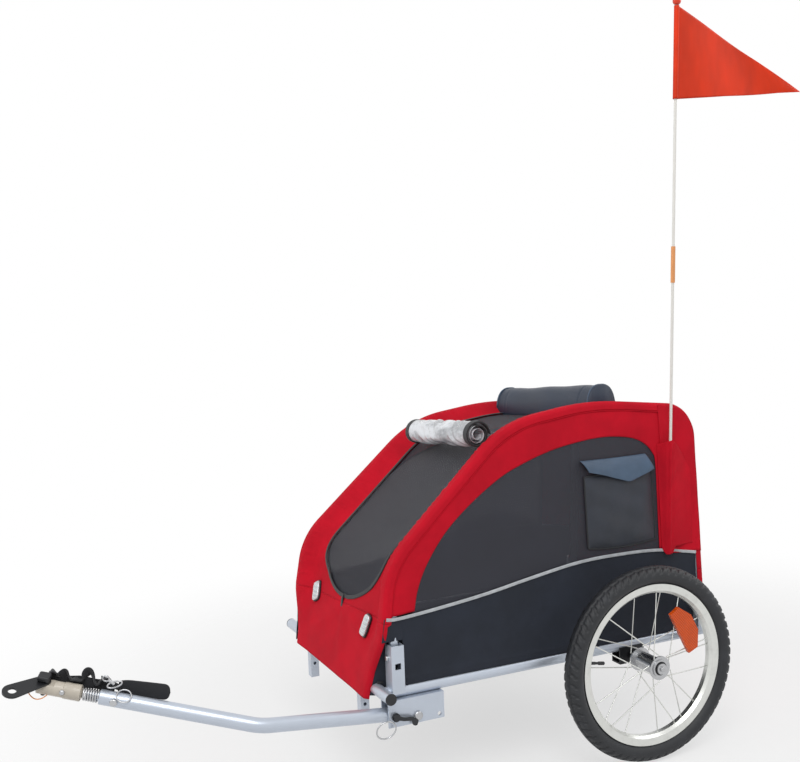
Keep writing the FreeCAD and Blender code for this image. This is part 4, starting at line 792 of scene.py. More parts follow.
def fan_ridges(y, z):
    """Heights of the soft ridges that fan out from under the door, low on the front."""
    height = np.zeros_like(y)
    for y1, (y2, z2), high in FAN:
        way = unit(np.array([y2 - y1, z2 - SPLIT_Z]))
        along = (y - y1) * way[0] + (z - SPLIT_Z) * way[1]
        off = (y - y1) * way[1] - (z - SPLIT_Z) * way[0]
        fade = smooth(along, -0.02, 0.04) * (1 - smooth(along, 0.10, 0.19))
        height += high * bell(off, 0.0, FAN_WIDTH) * fade
    return height


def cover_grid():
    """The cover between the arches as one grid.

    Rows follow the side outline from the front hem over the roof to the rear hem. Columns run from the left
    lip, round the left arch, across with a door band between two columns, to the right lip. Depth under the
    outline is the lip and a quarter round at each edge, a sunk middle with a slope by each arch, gathers on
    the slopes, and ridges below the door.
    """
    p = sizes()
    path = rounded_path(COVER_OUTLINE, COVER_RADII)
    run = travelled(path)
    fine = np.linspace(0, run[-1], 4000)
    x, z = np.interp(fine, run, path[:, 0]), np.interp(fine, run, path[:, 1])
    normal = unit(np.stack([np.gradient(z), -np.gradient(x)], -1))
    top = int(np.argmax(z))

    def front(height):
        return float(np.interp(height, z[:top], fine[:top]))

    def rear(height):
        return float(np.interp(-height, -z[top:], fine[top:]))

    # Rows
    door_end = float(np.interp(-DOOR_END_X, -x, fine))
    marks = [0.0, front(SPLIT_Z), front(DOOR_LOW), door_end, rear(SPLIT_Z), run[-1]]
    runs = [np.linspace(a, b, max(3, int((b - a) / ROW_STEP)), endpoint=False)
            for a, b in zip(marks, marks[1:])]
    s = np.concatenate(runs + [[run[-1]]])
    index = np.cumsum([0] + [len(part) for part in runs])
    z0 = np.interp(s, fine, z)
    at_front = s < front(0.5)
    low = at_front & (z0 < SPLIT_Z)

    # Half widths, narrower low on the front
    half = RAIL_Y + ARCH_OUT / math.cos(LEAN) - (z0 - PIVOT_Z[1]) * math.tan(LEAN)
    taper_z, taper_y = zip(*HEM_FRONT)
    far_taper = np.interp(z0 - 0.6 * SIDE_DROP, taper_z, taper_y) - 0.002
    left = np.where(low, np.minimum(half, np.interp(z0, taper_z, taper_y)), half)
    right = np.where(at_front & (z0 < SPLIT_Z + SIDE_DROP), np.minimum(half, far_taper), half)

    # Columns
    r = p.edge_round
    turn = np.linspace(0, math.pi / 2, 8)
    drop = np.linspace(1, 0, 4, endpoint=False)
    lip = np.where(low, 0.001, p.edge_lip)[:, None]
    edge_depth = np.concatenate([r + drop[None] * lip, np.tile(r * (1 - np.sin(turn)), (len(s), 1))], axis=1)
    edge_in = np.concatenate([np.zeros(len(drop)), r * (1 - np.cos(turn))])[None]
    lean = np.interp(s, fine, normal[:, 1])[:, None] * math.tan(LEAN)
    y_left = left[:, None] - edge_in + edge_depth * lean
    y_right = -(right[:, None] - edge_in + edge_depth * lean)
    bow = np.clip((DOOR_WIDE - z0) / (DOOR_WIDE - DOOR_LOW), 0, 1)
    band = DOOR_TIP + (DOOR_HALF - DOOR_TIP) * np.clip(1 - bow ** 2.4, 0, 1) ** 0.7
    band = np.where(at_front | (s < door_end), band, DOOR_HALF)[:, None]
    beside, across_door = 14, 40
    a = np.linspace(0, 1, beside + 1)[None, 1:]
    m = np.linspace(0, 1, across_door + 1)[None, 1:]
    y = np.concatenate([y_left, (left[:, None] - r) * (1 - a) + band * a, band * (1 - 2 * m),
                        -band * (1 - a) - (right[:, None] - r) * a, y_right[:, ::-1][:, 1:]], axis=1)
    edges = y_left.shape[1]
    first = edges + beside - 1

    # Depth
    sink_marks = [(0, 0.07), (front(0.235), 0.1), (front(0.27), 0.2), (front(0.30), 0.33), (front(0.33), 0.5),
                  (front(0.40), 1.0), (rear(0.7205), 1.0), (rear(0.708), 0.3), (rear(0.69), 0.14),
                  (rear(0.5), 0.14), (rear(0.38), 0.0), (run[-1], 0.0)]
    sag = p.sink * np.interp(s, *zip(*sink_marks))
    inward = np.minimum(left[:, None] - y, y + right[:, None])
    depth = sag[:, None] * smooth(inward - ARCH_COVERED, 0.0, p.sink_slope)
    depth[:, :edges] = edge_depth
    depth[:, -edges:] = edge_depth[:, ::-1]
    phase = math.tau * s / GATHER_PITCH + 2.6 * np.sin(s * 37.0) + 1.9 * np.sin(s * 91.0)
    wave = np.sin(phase) * (0.65 + 0.35 * np.sin(s * 143.0))
    gather_marks = [(0, 0.1), (front(0.36), 0.3), (front(0.42), 1.0), (front(0.66), 1.0), (front(0.72), 0.45),
                    (run[-1], 0.1)]
    gather = p.pucker * np.interp(s, *zip(*gather_marks)) * wave
    depth += gather[:, None] * bell(inward, GATHER_IN, GATHER_WIDTH)
    depth -= fan_ridges(y, z0[:, None]) * (at_front & (z0 < 0.40))[:, None]

    # Lower on the right
    over = np.clip((left[:, None] - y) / (left + right)[:, None], 0, 1)
    hem = 1 - smooth(s, 0.0, marks[1])[:, None] + smooth(s, marks[4], run[-1])[:, None]
    row = s[:, None] + np.where(s[:, None] < marks[2], 1, -1) * over * hem * SIDE_DROP
    x2, z2 = np.interp(row, fine, x), np.interp(row, fine, z)
    nx, nz = np.interp(row, fine, normal[:, 0]), np.interp(row, fine, normal[:, 1])
    points = np.stack([x2 - depth * nx, y, z2 - depth * nz + COVER_LIFT - SIDE_DROP * over], -1)
    across = flat_uv(points)[..., 0]
    middle = across[:, points.shape[1] // 2][:, None]
    uv = np.stack([across - middle, np.broadcast_to(s[:, None], across.shape)], -1)
    return SimpleNamespace(points=points, uv=uv, outward=np.stack([nx, 0 * nx, nz], -1), apron=index[1],
                           door_low=index[2], door_top=index[3], rear_low=index[4], first=first,
                           last=first + across_door)


def cover_cloths(g):
    """Red cloth of the cover: the canopy round the door, and an apron below it in front and behind."""
    thick = sizes().cloth_thick

    def rows(a, b, mask=None):
        return [grid_part(g.points[a:b + 1], g.uv[a:b + 1], mask)]

    whole = np.ones((g.rear_low - g.apron, g.points.shape[1] - 1), bool)
    whole[g.door_low - g.apron:g.door_top - g.apron, g.first:g.last] = False
    parts = rows(g.apron, g.rear_low, whole)
    canopy = make("canopy", parts, "red", "chassis", ["front_panel", "roof_panel", "rear_panel"], True, thick)
    lay(canopy, parts)
    for name, a, b, tube in (("front_apron", 0, g.apron, "front_cross_tube"),
                             ("rear_apron", g.rear_low, len(g.points) - 1, "rear_cross_tube")):
        parts = rows(a, b)
        lay(make(name, parts, "red", "chassis", thick=thick), parts)
    return canopy


def door(g, canopy):
    """Mesh door just under the canopy's face, and the black binding round its edge."""
    block = np.s_[g.door_low:g.door_top + 1, g.first:g.last + 1]
    outward = g.outward[block] * 0.0018
    parts = [grid_part(g.points[block] - outward, g.uv[block])]
    net = make("door_mesh", parts, "front_screen", "chassis", ["front_mesh"], folds=True, closed=False)
    lay(net, parts)

    def around(grid):
        """Down a grid's first column, along its first row and up its last column."""
        return np.concatenate([grid[:0:-1, 0], grid[0, :-1], grid[:, -1]])

    rim, way = around(g.points[block]), around(outward)
    run = travelled(rim)
    at = np.linspace(0, run[-1], 260)
    face = np.stack([np.interp(at, run, way[:, k]) for k in range(3)], -1)
    band = carried(spaced(rim + way * 0.9, 260), flat_profile(sizes().binding_width, 0.0022), face)
    make("door_binding", [band], "black_web", "chassis", folds=True)


def rounded_block(place, wide, tall, deep, crown):
    """Rings of a superellipse from its back's middle, over the rounded edge, to its crowned face's middle."""
    middle, across, up, out = place
    turn = np.linspace(0, math.tau, 49)
    ring = np.stack([wide / 2 * bent(np.cos(turn), 0.45), tall / 2 * bent(np.sin(turn), 0.45)], -1)
    grow = np.array([0.0, 0.97, 1.0, 1.0, 0.97, 0.90, 0.6, 0.3, 0.0])
    rise = deep * np.array([0.0, 0.0, 0.12, 0.8, 0.96, 1.0, 1.0, 1.0, 1.0])
    rise[-3:] += crown * np.array([0.6, 0.9, 1.0])
    flat = ring[None] * grow[:, None, None]
    return grid_part(middle + flat[..., :1] * across + flat[..., 1:] * up + rise[:, None, None] * out)


def front_lenses(g):
    """The two white reflectors low on the front, flat on the cloth, in black frames."""
    lenses, frames = [], []
    low = g.points[:g.door_low]
    for at_y in (LENS_Y, -LENS_Y):
        gap = np.abs(low[..., 1] - at_y) + np.abs(low[..., 2] - LENS_Z)
        i, j = np.unravel_index(np.argmin(gap), gap.shape)
        up = unit(g.points[i + 6, j] - g.points[i - 6, j])
        out = unit(np.cross(g.points[i, j - 3] - g.points[i, j + 3], up))
        place = (g.points[i, j] + out * 0.0006, np.cross(up, out), up, out)
        lenses.append(rounded_block(place, *LENS_SIZE))
        frames.append(rounded_block(place, *LENS_FRAME))
    make("front_lenses", lenses, "clear", "chassis", ["front_reflectors"])
    make("front_lens_frames", frames, "plastic", "chassis")


def cover():
    g = cover_grid()
    door(g, cover_cloths(g))
    front_lenses(g)
    tab = g.points[g.door_low, (g.first + g.last) // 2] + np.array(PULLER)
    puller = carried(through(tab, 24), flat_profile(0.0085, 0.0028), (1, 0, 0))
    make("zip_puller", [puller], "plastic", "chassis")


# Sides

def side_band_paths():
    """A side panel's inner and outer edges, matched point by point from the low front to the rear."""
    fine = spaced(rounded_path(COVER_OUTLINE, [r - BORDER_TIGHTER for r in COVER_RADII]), 3000)
    normal = unit(np.stack([np.gradient(fine[:, 1]), -np.gradient(fine[:, 0])], -1))
    fine = fine - normal * BORDER_IN
    top = int(np.argmax(fine[:, 1]))
    start = int(np.argmax(fine[:, 1] > BORDER_LOW))
    rear_x = STRIP_X - OVERLAP
    outer = fine[start:top + int(np.argmax(fine[top:, 0] < rear_x))]
    down = np.stack([np.full(30, rear_x), np.linspace(outer[-1, 1], BORDER_REAR_LOW, 30)], -1)
    window = through(WINDOW, 600)
    bend = int(np.argmin(np.abs(window[:, 1] - WINDOW_BEND) + (window[:, 0] > 0) * 9))
    inner = np.concatenate([spaced(window[:bend + 1], 150), spaced(window[bend:], 40)[1:]])
    return inner, np.concatenate([spaced(outer, 150), spaced(down, 40)[1:]])


def side_cloth(side):
    """Red border round the window."""
    name = SIDE_NAME[side]
    inner, outer = side_band_paths()
    t = np.linspace(0, 1, 22)[None, :, None]
    flat = inner[:, None] * (1 - t) + outer[:, None] * t
    x, z = flat[..., 0], flat[..., 1]
    puff = BORDER_OUT + 0.0012 * np.sin(math.pi * t[..., 0]) + 0.0004 * np.sin(x * 55 + z * 31)
    parts = [grid_part(on_side(x, puff, z, side), flat, flip=side < 0)]
    border = make(name + "_side_cloth", parts, "red", name + "_side", [name + "_side_panel"],
                  thick=sizes().cloth_thick)
    lay(border, parts)
    return border


def window_mesh(side, border):
    """Mesh window, tucked under the border and down to the piping."""
    name = SIDE_NAME[side]
    window, piping = through(WINDOW, 500), through(PIPING, 300)
    xs = np.linspace(WINDOW[0][0] + OVERLAP, WINDOW_REAR_X, 130)
    upper = window[:int(np.argmin(window[:, 0])) + 1][::-1]
    low = np.interp(xs, piping[::-1, 0], piping[::-1, 1]) - 0.003
    high = np.maximum(np.interp(xs, upper[:, 0], upper[:, 1]) + 0.006, low + 0.001)
    t = np.linspace(0.0, 1.0, 60)[None]
    z = low[:, None] * (1 - t) + high[:, None] * t
    x = xs[:, None] + 0 * z
    sag = 0.0012 * np.sin(math.pi * t) * np.sin(np.linspace(0, math.pi, len(xs)))[:, None]
    parts = [grid_part(on_side(x, MESH_OUT - sag, z, side), np.stack([x, z], -1), flip=side < 0)]
    net = make(name + "_window_mesh", parts, "side_screen", name + "_side", [name + "_side_mesh"],
               closed=False)
    lay(net, parts)


def lower_cloth(side):
    """Dark cloth from the piping down over the rail, with a leaf that reaches ahead of the front post."""
    name, pivot = SIDE_NAME[side], PIVOT_Z[side]
    drop, short = 0.0 if side > 0 else SIDE_DROP, LOWER_SHORT[side]
    piping = through(PIPING, 300)
    ahead = np.linspace(1, 0, 14)
    xs = np.concatenate([LEAF_X + LEAF_REACH * ahead,
                         np.linspace(FRONT_POST_X - POST_STEP, REAR_POST_X + POST_STEP, 150),
                         np.linspace(REAR_POST_X - POST_STEP, PIPING[-1][0], 5)])
    seam = np.interp(xs, piping[::-1, 0], piping[::-1, 1])
    foot = np.where((xs > FRONT_POST_X) | (xs < REAR_POST_X), LEAF_LOW - drop, LOWER_LOW)
    t = np.linspace(0, 1, 46)[None]
    z = foot[:, None] * (1 - t) + (seam - drop)[:, None] * t
    reach = np.concatenate([ahead, np.zeros(len(xs) - len(ahead))])[:, None]
    x = np.where(reach > 0, LEAF_X + (front_edge(z + drop) - short - LEAF_X) * reach, xs[:, None] + 0 * z)
    at_seam = RAIL_Y + 0.0108 - (seam - PIVOT_Z[1]) * math.sin(LEAN)
    hang = 0.0010 * np.sin(xs * 61.0 + 1.3 * np.sin(xs * 23.0)) + 0.0012 * np.sin(xs * 19.0 + 2.0)
    y = LOWER_Y * (1 - t) + at_seam[:, None] * t
    y = y + hang[:, None] * np.sin(math.pi * t) + 0.0016 * bell(z, 0.243, 0.006)
    parts = [grid_part(np.stack([x, side * y, z], -1), np.stack([x, z], -1), flip=side < 0)]
    lower = make(name + "_lower_cloth", parts, "dark", None, [name + "_lower_panel"],
                 thick=sizes().cloth_thick)
    lay(lower, parts)
    side * BLEND_Y
    side * BLEND_Y
    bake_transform(lower)


def side_piping(side):
    """Grey piping along the seam under the window."""
    line = through(PIPING, 200)
    line = line[line[:, 0] < PIPING_FRONT[side]]
    section = flat_profile(sizes().piping_width, 0.0022)
    band = carried(on_side(line[:, 0], PIPING_OUT, line[:, 1], side), section, (0, side, 0))
    make(SIDE_NAME[side] + "_piping", [band], "piping", SIDE_NAME[side] + "_side")


def arch_seam(side):
    """Sewn seam along the cover's edge."""
    path, normal = cover_line()
    edge = path - normal * (sizes().edge_round + sizes().edge_lip)
    top = int(np.argmax(edge[:, 1]))
    start = int(np.argmax(edge[:, 1] > SEAM_LOW))
    seam = spaced(edge[start:top + int(np.argmax(edge[top:, 1] < SEAM_REAR_LOW))], 340)
    stitch = 0.0010 + 0.00025 * np.sin(travelled(seam) * math.tau / 0.006)
    line = on_side(seam[:, 0], ARCH_OUT, seam[:, 1], side)
    cord = carried(line, round_profile(1.0, 8), (0, side, 0), scale=stitch)
    make(SIDE_NAME[side] + "_arch_seam", [cord], "red", "chassis", folds=True)


def rear_strip(side):
    """Red strip behind the window."""
    path, normal = cover_line()
    top = int(np.argmax(path[:, 1]))
    front_x = STRIP_X + OVERLAP
    begin = top + int(np.argmax(path[top:, 0] < front_x))
    stop = top + int(np.argmax(path[top:, 1] < STRIP_LOW))
    rim = spaced(path[begin:stop] - normal[begin:stop] * OVERLAP, 60)
    front = np.stack([np.full(60, front_x), np.linspace(rim[0, 1], SEAM_REAR_LOW, 60)], -1)
    t = np.linspace(0, 1, 16)[None, :, None]
    flat = front[:, None] * (1 - t) + rim[:, None] * t
    x, z = flat[..., 0], flat[..., 1]
    out = STRIP_OUT + 0.00024 * np.sin(z * 70 + x * 60)
    parts = [grid_part(on_side(x, out, z, side), flat, flip=side > 0)]
    strip = make(SIDE_NAME[side] + "_rear_strip", parts, "red", "chassis", folds=True,
                 thick=sizes().cloth_thick)
    lay(strip, parts)


def corner_cloth(side):
    """Dark cloth from the front post to the edge of the front apron, on a cubic curve at each height."""
    z = np.linspace(*CORNER_Z, 40)
    over = smooth(z, 0.316, 0.338)
    edge_y = np.interp(z, *zip(*CORNER_EDGE))
    corners = [(0.5105, 0.2415), (0.520, 0.2225 + 0.020 * over), (0.545, 0.2165 + 0.027 * over),
               (front_edge(z) - 0.005, edge_y)]
    a, b, c, d = (np.stack(np.broadcast_arrays(x, y, z), -1)[:, None] for x, y in corners)
    t = np.linspace(0, 1, 24)[None, :, None]
    points = (1 - t) ** 3 * a + 3 * t * (1 - t) ** 2 * b + 3 * t * t * (1 - t) * c + t ** 3 * d
    points = points * np.array([1, side, 1])
    if side < 0:
        points = points - np.array([0.004, 0, SIDE_DROP]) * smooth(points[..., 2:], *CORNER_Z)
    parts = [grid_part(points, flip=side < 0)]
    corner = make(SIDE_NAME[side] + "_corner_cloth", parts, "dark", "chassis", thick=sizes().cloth_thick)
    lay(corner, parts)


def sides():
    for side in (1, -1):
        window_mesh(side, side_cloth(side))
        for build in (lower_cloth, side_piping, arch_seam, rear_strip, corner_cloth):
            build(side)


def pole_pocket():
    """Sleeve for the pole: a bulge over the pole that runs out flat on the strip ahead of and behind it."""
    turn = np.linspace(-1, 1, 81)[None]
    reach = POLE_POCKET_LENGTH - 0.070 * np.clip(-turn, 0, 1) ** 1.5 - 0.010 * np.clip(turn, 0, 1)
    foot = -0.0016 + 0.0146 * smooth(np.abs(turn) * np.where(turn < 0, POCKET_BEHIND, 0.014), 0.006, 0.016)
    along = foot + np.linspace(0, 1, 90)[:, None] * (reach - foot)
    centre = POLE_FOOT + POLE_UP * along[..., None]
    skin = RAIL_Y + 0.0130 / math.cos(LEAN) - (centre[..., 2] - PIVOT_Z[1]) * math.tan(LEAN)
    rise = np.maximum(POLE_FOOT[1] + 0.0044 - skin, 0.0034)
    width = np.where(turn < 0, POCKET_BEHIND, 0.010 + 0.35 * rise)
    off = np.abs(turn) * width
    crown = np.where(off < POLE_ROUND, 1 - 0.2 * (off / POLE_ROUND) ** 2,
                     0.8 * (1 - smooth(off, 0.0030, width)))
    ripple = 0.0005 * np.sin(along * 120 + turn * 4) * (1 - turn ** 2)
    points = np.stack([centre[..., 0] + turn * width, skin + rise * crown + ripple, centre[..., 2]], -1)
    make("pole_pocket", [grid_part(points, flip=True)], "red", "chassis", folds=True, thick=0.0008)


def pocket_bag():
    """Side pocket as a slack bag, with a black hem round its face."""
    a = np.linspace(-1, 1, 61)[:, None]
    b = np.linspace(-1, 1, 51)[None]
    x = POCKET_X + POCKET_HALF_WIDTH * a + 0 * b
    z = POCKET_Z + POCKET_HALF_HEIGHT * b - 0.006 * (1 - a * a) * (b < 0) * -b
    dome = (1 - np.abs(a) ** 6) * (1 - np.abs(b) ** 6)
    slack = 0.65 + 0.35 * smooth(-b, -0.9, 0.9)
    folds = 0.0011 * np.sin(a * 7 + b * 3) * dome + 0.0008 * np.sin(b * 9 - a * 4) * dome
    face = on_side(x, 0.0108 + sizes().pocket_bulge * dome * slack + folds, z, 1)
    back = on_side(x, POCKET_OUT + 0 * dome, z, 1)
    uv = np.stack([x, z], -1)
    parts = [grid_part(face, uv, flip=True), grid_part(back, uv)]
    for axis in (0, 1):
        for end in (0, -1):
            parts.append(grid_part(np.stack([np.take(face, end, axis), np.take(back, end, axis)])))
    make("side_pocket", parts, "pocket", "left_side", ["left_pocket"])
    edge = np.concatenate([face[:, 0], face[-1, 1:], face[::-1, -1][1:], face[0, ::-1][1:]])
    hem = carried(spaced(edge, 220)[:-1], round_profile(0.0016, 8), (0, 1, 0.07), ring=True)
    make("pocket_hem", [hem], "black_web", "left_side")


def pocket_flap():
    """Soft flap over the pocket's mouth."""
    t = np.linspace(0, 1, 70)
    high = np.stack([FLAP_FRONT_X - FLAP_WIDTH * t, FLAP_TOP_Z - 0.001 * np.sin(math.pi * t)], -1)
    low = through(FLAP_EDGE, len(t))
    d = np.linspace(0, 1, 30)[None, :, None]
    flat = high[:, None] * (1 - d) + low[:, None] * d
    down = d[..., 0]
    swell = 0.0120 + 0.0115 * np.sin(0.5 * math.pi * down ** 0.7)
    swell = swell + 0.0012 * np.sin(t[:, None] * 17 + down * 5) * down
    parts = [grid_part(on_side(flat[..., 0], swell, flat[..., 1], 1), flip=True)]
    flap = make("pocket_flap", parts, "flap", "pocket_cover", ["left_pocket_flap"], thick=0.0012)
    lay(flap, parts)


# Rolled flaps

def rain_roll():
    """The rain flap's spiral (turn, radius, direction), its axis, and its places across with their fall."""
    path, normal = cover_line()
    at = int(np.argmax(path[:, 0] < RAIN_X))
    outer = sizes().rain_roll_radius
    turn = np.linspace(0, RAIN_TURNS * math.tau, 220)
    y = np.linspace(RAIN_LOW, RAIN_HIGH, 110)
    return SimpleNamespace(turn=turn, radius=outer - (outer - RAIN_CORE) * turn / turn[-1],
                           ring=np.stack([-np.cos(turn), np.sin(turn)], -1),
                           axis=path[at] + normal[at] * (outer - RAIN_SEAT), y=y,
                           fall=COVER_LIFT - SIDE_DROP * (ROOF_HALF - y) / (2 * ROOF_HALF))


def rain_flap():
    """Clear rain flap, rolled up above the door, with dents that fade towards its bound ends."""
    roll = rain_roll()
    turn, y, width = roll.turn[None], roll.y[:, None], RAIN_HIGH - RAIN_LOW
    dent = 0.0013 * np.sin(y * 37 + 2 * np.sin(turn + y * 21)) * np.sin(turn + y * 9 + 1)
    dent = dent + 0.0012 * np.sin(y * 83 + 3 * np.sin(turn * 2 - y * 33))
    dent = dent + 0.0007 * np.sin(y * 171 - turn * 5 + 2 * np.sin(y * 60))
    loose = smooth(y, RAIN_LOW + 0.012, RAIN_LOW + 0.05)
    loose = loose * (1 - smooth(y, RAIN_HIGH - 0.05, RAIN_HIGH - 0.012))
    r = roll.radius[None] + dent * loose * (0.4 + 0.6 * (turn < 7))
    grid = np.stack([roll.axis[0] + r * roll.ring[None, :, 0], np.broadcast_to(y, r.shape),
                     roll.axis[1] + roll.fall[:, None] + r * roll.ring[None, :, 1]], -1)
    uv = np.stack(np.broadcast_arrays(travelled(roll.radius[:, None] * roll.ring)[None], y), -1)
    parts = [grid_part(grid, uv)]
    film = make("rain_flap", parts, "vinyl", "chassis", ["rain_flap_roll"], folds=True, thick=0.0006)
    area = area_of(parts)


def rain_binding():
    """Black binding round both ends of the rain flap's outer turns."""
    roll = rain_roll()
    few = roll.turn < BOUND_TURNS * math.tau
    parts = []
    for end, way in ((0, 1), (-1, -1)):
        y = (roll.y[end] + way * np.array([-0.0012, 0.0, 0.013, 0.014]))[:, None]
        faces = []
        for offset in (0.0016, -0.0018):
            spiral = ((roll.radius + offset)[:, None] * roll.ring)[few]
            x, z = roll.axis[0] + spiral[:, 0], roll.axis[1] + roll.fall[end] + spiral[:, 1]
            faces.append(np.stack(np.broadcast_arrays(x[None], y, z[None]), -1))
        over, under = faces
        parts.append(grid_part(np.concatenate([over, under[::-1], over[:1]])))
        parts.extend(grid_part(np.stack([over[:, e], under[:, e]])) for e in (0, -1))
    make("rain_flap_binding", parts, "black_web", "chassis", folds=True)


def sun_flap():
    """Rolled sun flap across the roof: a padded roll with a D-shaped section, and piping round its ends."""
    along = unit(SUN_NEAR - SUN_FAR)
    side = unit(np.cross([0, 0, 1.0], along))
    up = np.cross(along, side)
    length = float(np.linalg.norm(SUN_NEAR - SUN_FAR))
    t = np.concatenate([np.linspace(0, 0.02, 7), np.linspace(0.025, 0.975, 110), np.linspace(0.98, 1.0, 7)])
    nib = np.minimum(t, 1 - t) * length
    pole = nib < 1e-9
    shrink = np.where(pole, 0.0, 1 - 0.05 * np.clip(1 - nib / 0.006, 0, 1) ** 2)[:, None]
    angle = np.linspace(0, math.tau, 97)
    c, s = np.cos(angle), np.sin(angle)
    wide = SUN_HALF_WIDTH * bent(c, np.where(c < 0, 0.86, 0.66))
    tall = np.where(s > 0, SUN_HEIGHT * np.abs(s) ** np.where(c < 0, 0.86, 0.74), -0.0040 * np.abs(s) ** 0.5)
    seams = -0.0009 * bell(nib, 0.040, 0.0022) + 0.0011 * bell(nib, 0.004, 0.0030)
    dents = 0.0005 * np.sin(t[:, None] * 17 + 2 * c[None]) + 0.0004 * np.sin(t[:, None] * 7 + 3 * s[None])
    grow = shrink * (1 + (seams[:, None] + dents * smooth(nib, 0.01, 0.05)[:, None]) / SUN_HALF_WIDTH)
    puffed = 0.0035 * np.where(pole, 1.0, 0.0) * np.where(t < 0.5, -1, 1)
    mid = SUN_FAR + along * (t * length + puffed)[:, None]
    lifted = tall[None] * grow + 0.020 * (1 - shrink)
    grid = mid[:, None] + side * (wide[None] * grow)[..., None] + up * lifted[..., None]
    bolster = make("sun_flap_roll", [grid_part(grid)], "navy", "chassis", ["roof_roll"], folds=True)
    rims = []
    for row in (6, -7):
        rim = grid[row, 4:45]
        rims.append(carried(rim + (rim - mid[row]) * 0.012, round_profile(0.0014, 8), along))
    make("sun_flap_piping", rims, "flap", "chassis", folds=True)


# Flag and wheels

def flag():
    """Pennant with a hem round the pole and soft ripples that grow towards its tip."""
    top = POLE_FOOT + POLE_UP * (POLE_LENGTH - 0.004)
    low = POLE_FOOT + POLE_UP * (POLE_LENGTH - FLAG_HEIGHT)
    tip = low + np.array([-0.333, 0, 0.026])
    u = np.linspace(0, 0.992, 90)[:, None]
    v = np.linspace(0, 1, 40)[None]
    mast = low * (1 - v[..., None]) + top * v[..., None] + np.array([-0.004, 0, 0])
    grid = mast * (1 - u[..., None]) + tip * u[..., None]
    wave = sizes().flag_wave * u ** 0.8 * np.sin(math.tau * (1.15 * u + 0.22 * v) + 0.4)
    grid = grid + np.stack([0 * wave, wave * (1 - 0.35 * u), -0.2 * np.abs(wave)], -1)
    hem = carried(np.linspace(low, top, 40), round_profile(0.0049, 16), (0, 1, 0), caps=False)
    parts = [grid_part(grid), hem]
    cloth = make("flag_cloth", parts, "flag", "flag_staff", ["flag"], thick=0.0006)
    lay(cloth, parts)


def tyres():
    """Tyres, turned about the axle with slanted tread blocks pressed in, and their valves."""
    section = through(TYRE_HALF + [(r, -w) for r, w in TYRE_HALF[-2::-1]], 52)
    outward = unit(np.stack([-np.gradient(section[:, 1]), np.gradient(section[:, 0])], -1))
    turn = np.linspace(0, math.tau, 961)[:, None]
    radius, across = section[None, :, 0], section[None, :, 1]
    w = across / TYRE_HALF_WIDTH
    off = np.abs(w)
    blocks = np.sin(BLOCKS * turn + 5.2 * off) + 0.3 * np.sin(2 * BLOCKS * turn - 3.0 * w)
    groove = smooth(blocks, 0.25, 0.6) * smooth(off, 0.22, 0.36)
    zigzag = smooth(1 - np.abs(off - 0.34 - 0.09 * np.sin(BLOCKS * turn)) / 0.075, 0.0, 0.6)
    middle = smooth(1 - off / 0.05, 0.0, 0.5) * 0.7
    band = smooth(radius, 0.1838, 0.1885)
    ribs = 0.0003 * np.sin(radius * 2600) * (1 - band) * smooth(radius, 0.170, 0.174)
    depth = sizes().tread_depth * np.maximum(np.maximum(groove, zigzag), middle) * band - ribs
    radius = radius - depth * outward[None, :, 0]
    across = across - depth * outward[None, :, 1]
    for side in (1, -1):
        name, centre = SIDE_NAME[side], (0, side * WHEEL_Y, AXLE_Z)
        grid = np.stack([radius * np.cos(turn), centre[1] + across + 0 * turn,
                         AXLE_Z + radius * np.sin(turn)], -1)
        parts = [grid_part(grid), grid_part(grid[:, [-1, 0]])]
        make(name + "_tyre_casing", parts, "rubber", name + "_wheel", [name + "_tyre"])
        make(name + "_valve", [spun(VALVE, centre, (0.984, 0, 0.178), 20)], "plastic", name + "_wheel")


# Hitch

def hitch_frame():
    """Origin and axes of the hitch: X on along the bar from its front end, Z upwards."""
    flat = math.cos(BAR_RISE)
    second = np.array([flat * math.cos(BAR_TURN), -flat * math.sin(BAR_TURN), math.sin(BAR_RISE)])
    first = np.array([math.cos(BAR_PITCH), 0, math.sin(BAR_PITCH)])
    origin = BAR_ROOT + first * BAR_FIRST + second * BAR_SECOND
    up = unit(np.array([0, 0, 1.0]) - second * second[2])
    return origin, second, np.cross(up, second), up


def hitch_points(points):
    origin, ahead, side, up = hitch_frame()
    p = np.asarray(points, float)
    return origin + p[..., :1] * ahead + p[..., 1:2] * side + p[..., 2:3] * up


def strap():
    """Safety strap in waves along the hitch, a second layer under them, and its flat end."""
    side, up = hitch_frame()[2:]
    thick = sizes().strap_thick
    line = through([(x, -0.0125 - 0.004 * (x < 0), z) for x, z in STRAP_WAVES], 220)
    run = travelled(line)
    line[:, 1] += 0.0020 * np.sin(line[:, 0] * 140)
    twist = -0.45 + 0.5 * np.sin(run * 95.0 + 0.6) * np.clip(run / 0.02, 0, 1)
    lump = 1.0 + 0.14 * np.sin(run * 210.0) + 0.10 * np.sin(run * 77.0 + 1.0)
    waves = carried(hitch_points(line), flat_profile(0.0195, thick, 28), up, scale=lump, twist=twist)
    under = through(STRAP_UNDER, 90)
    run = travelled(under)
    back = carried(hitch_points(under), flat_profile(0.0190, thick, 28), side,
                   scale=1.0 + 0.10 * np.sin(run * 130.0), twist=0.25 * np.sin(run * 60.0))
    leaf = np.linspace(0, 1, 60)
    width = 0.62 + 0.38 * np.sqrt(np.clip(1 - (1 - np.minimum(leaf / 0.25, 1)) ** 2, 0, 1))
    width = width * np.sqrt(np.clip(1 - np.clip((leaf - 0.84) / 0.16, 0, 1) ** 3.0, 0.0004, 1))
    end = carried(hitch_points(through(STRAP_END, 60)), flat_profile(0.0295, thick, 28), side,
                  scale=np.maximum(width, 0.02))
    piece = make("strap", [waves, back, end], "black_web", None, ["safety_strap"])
    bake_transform(piece)


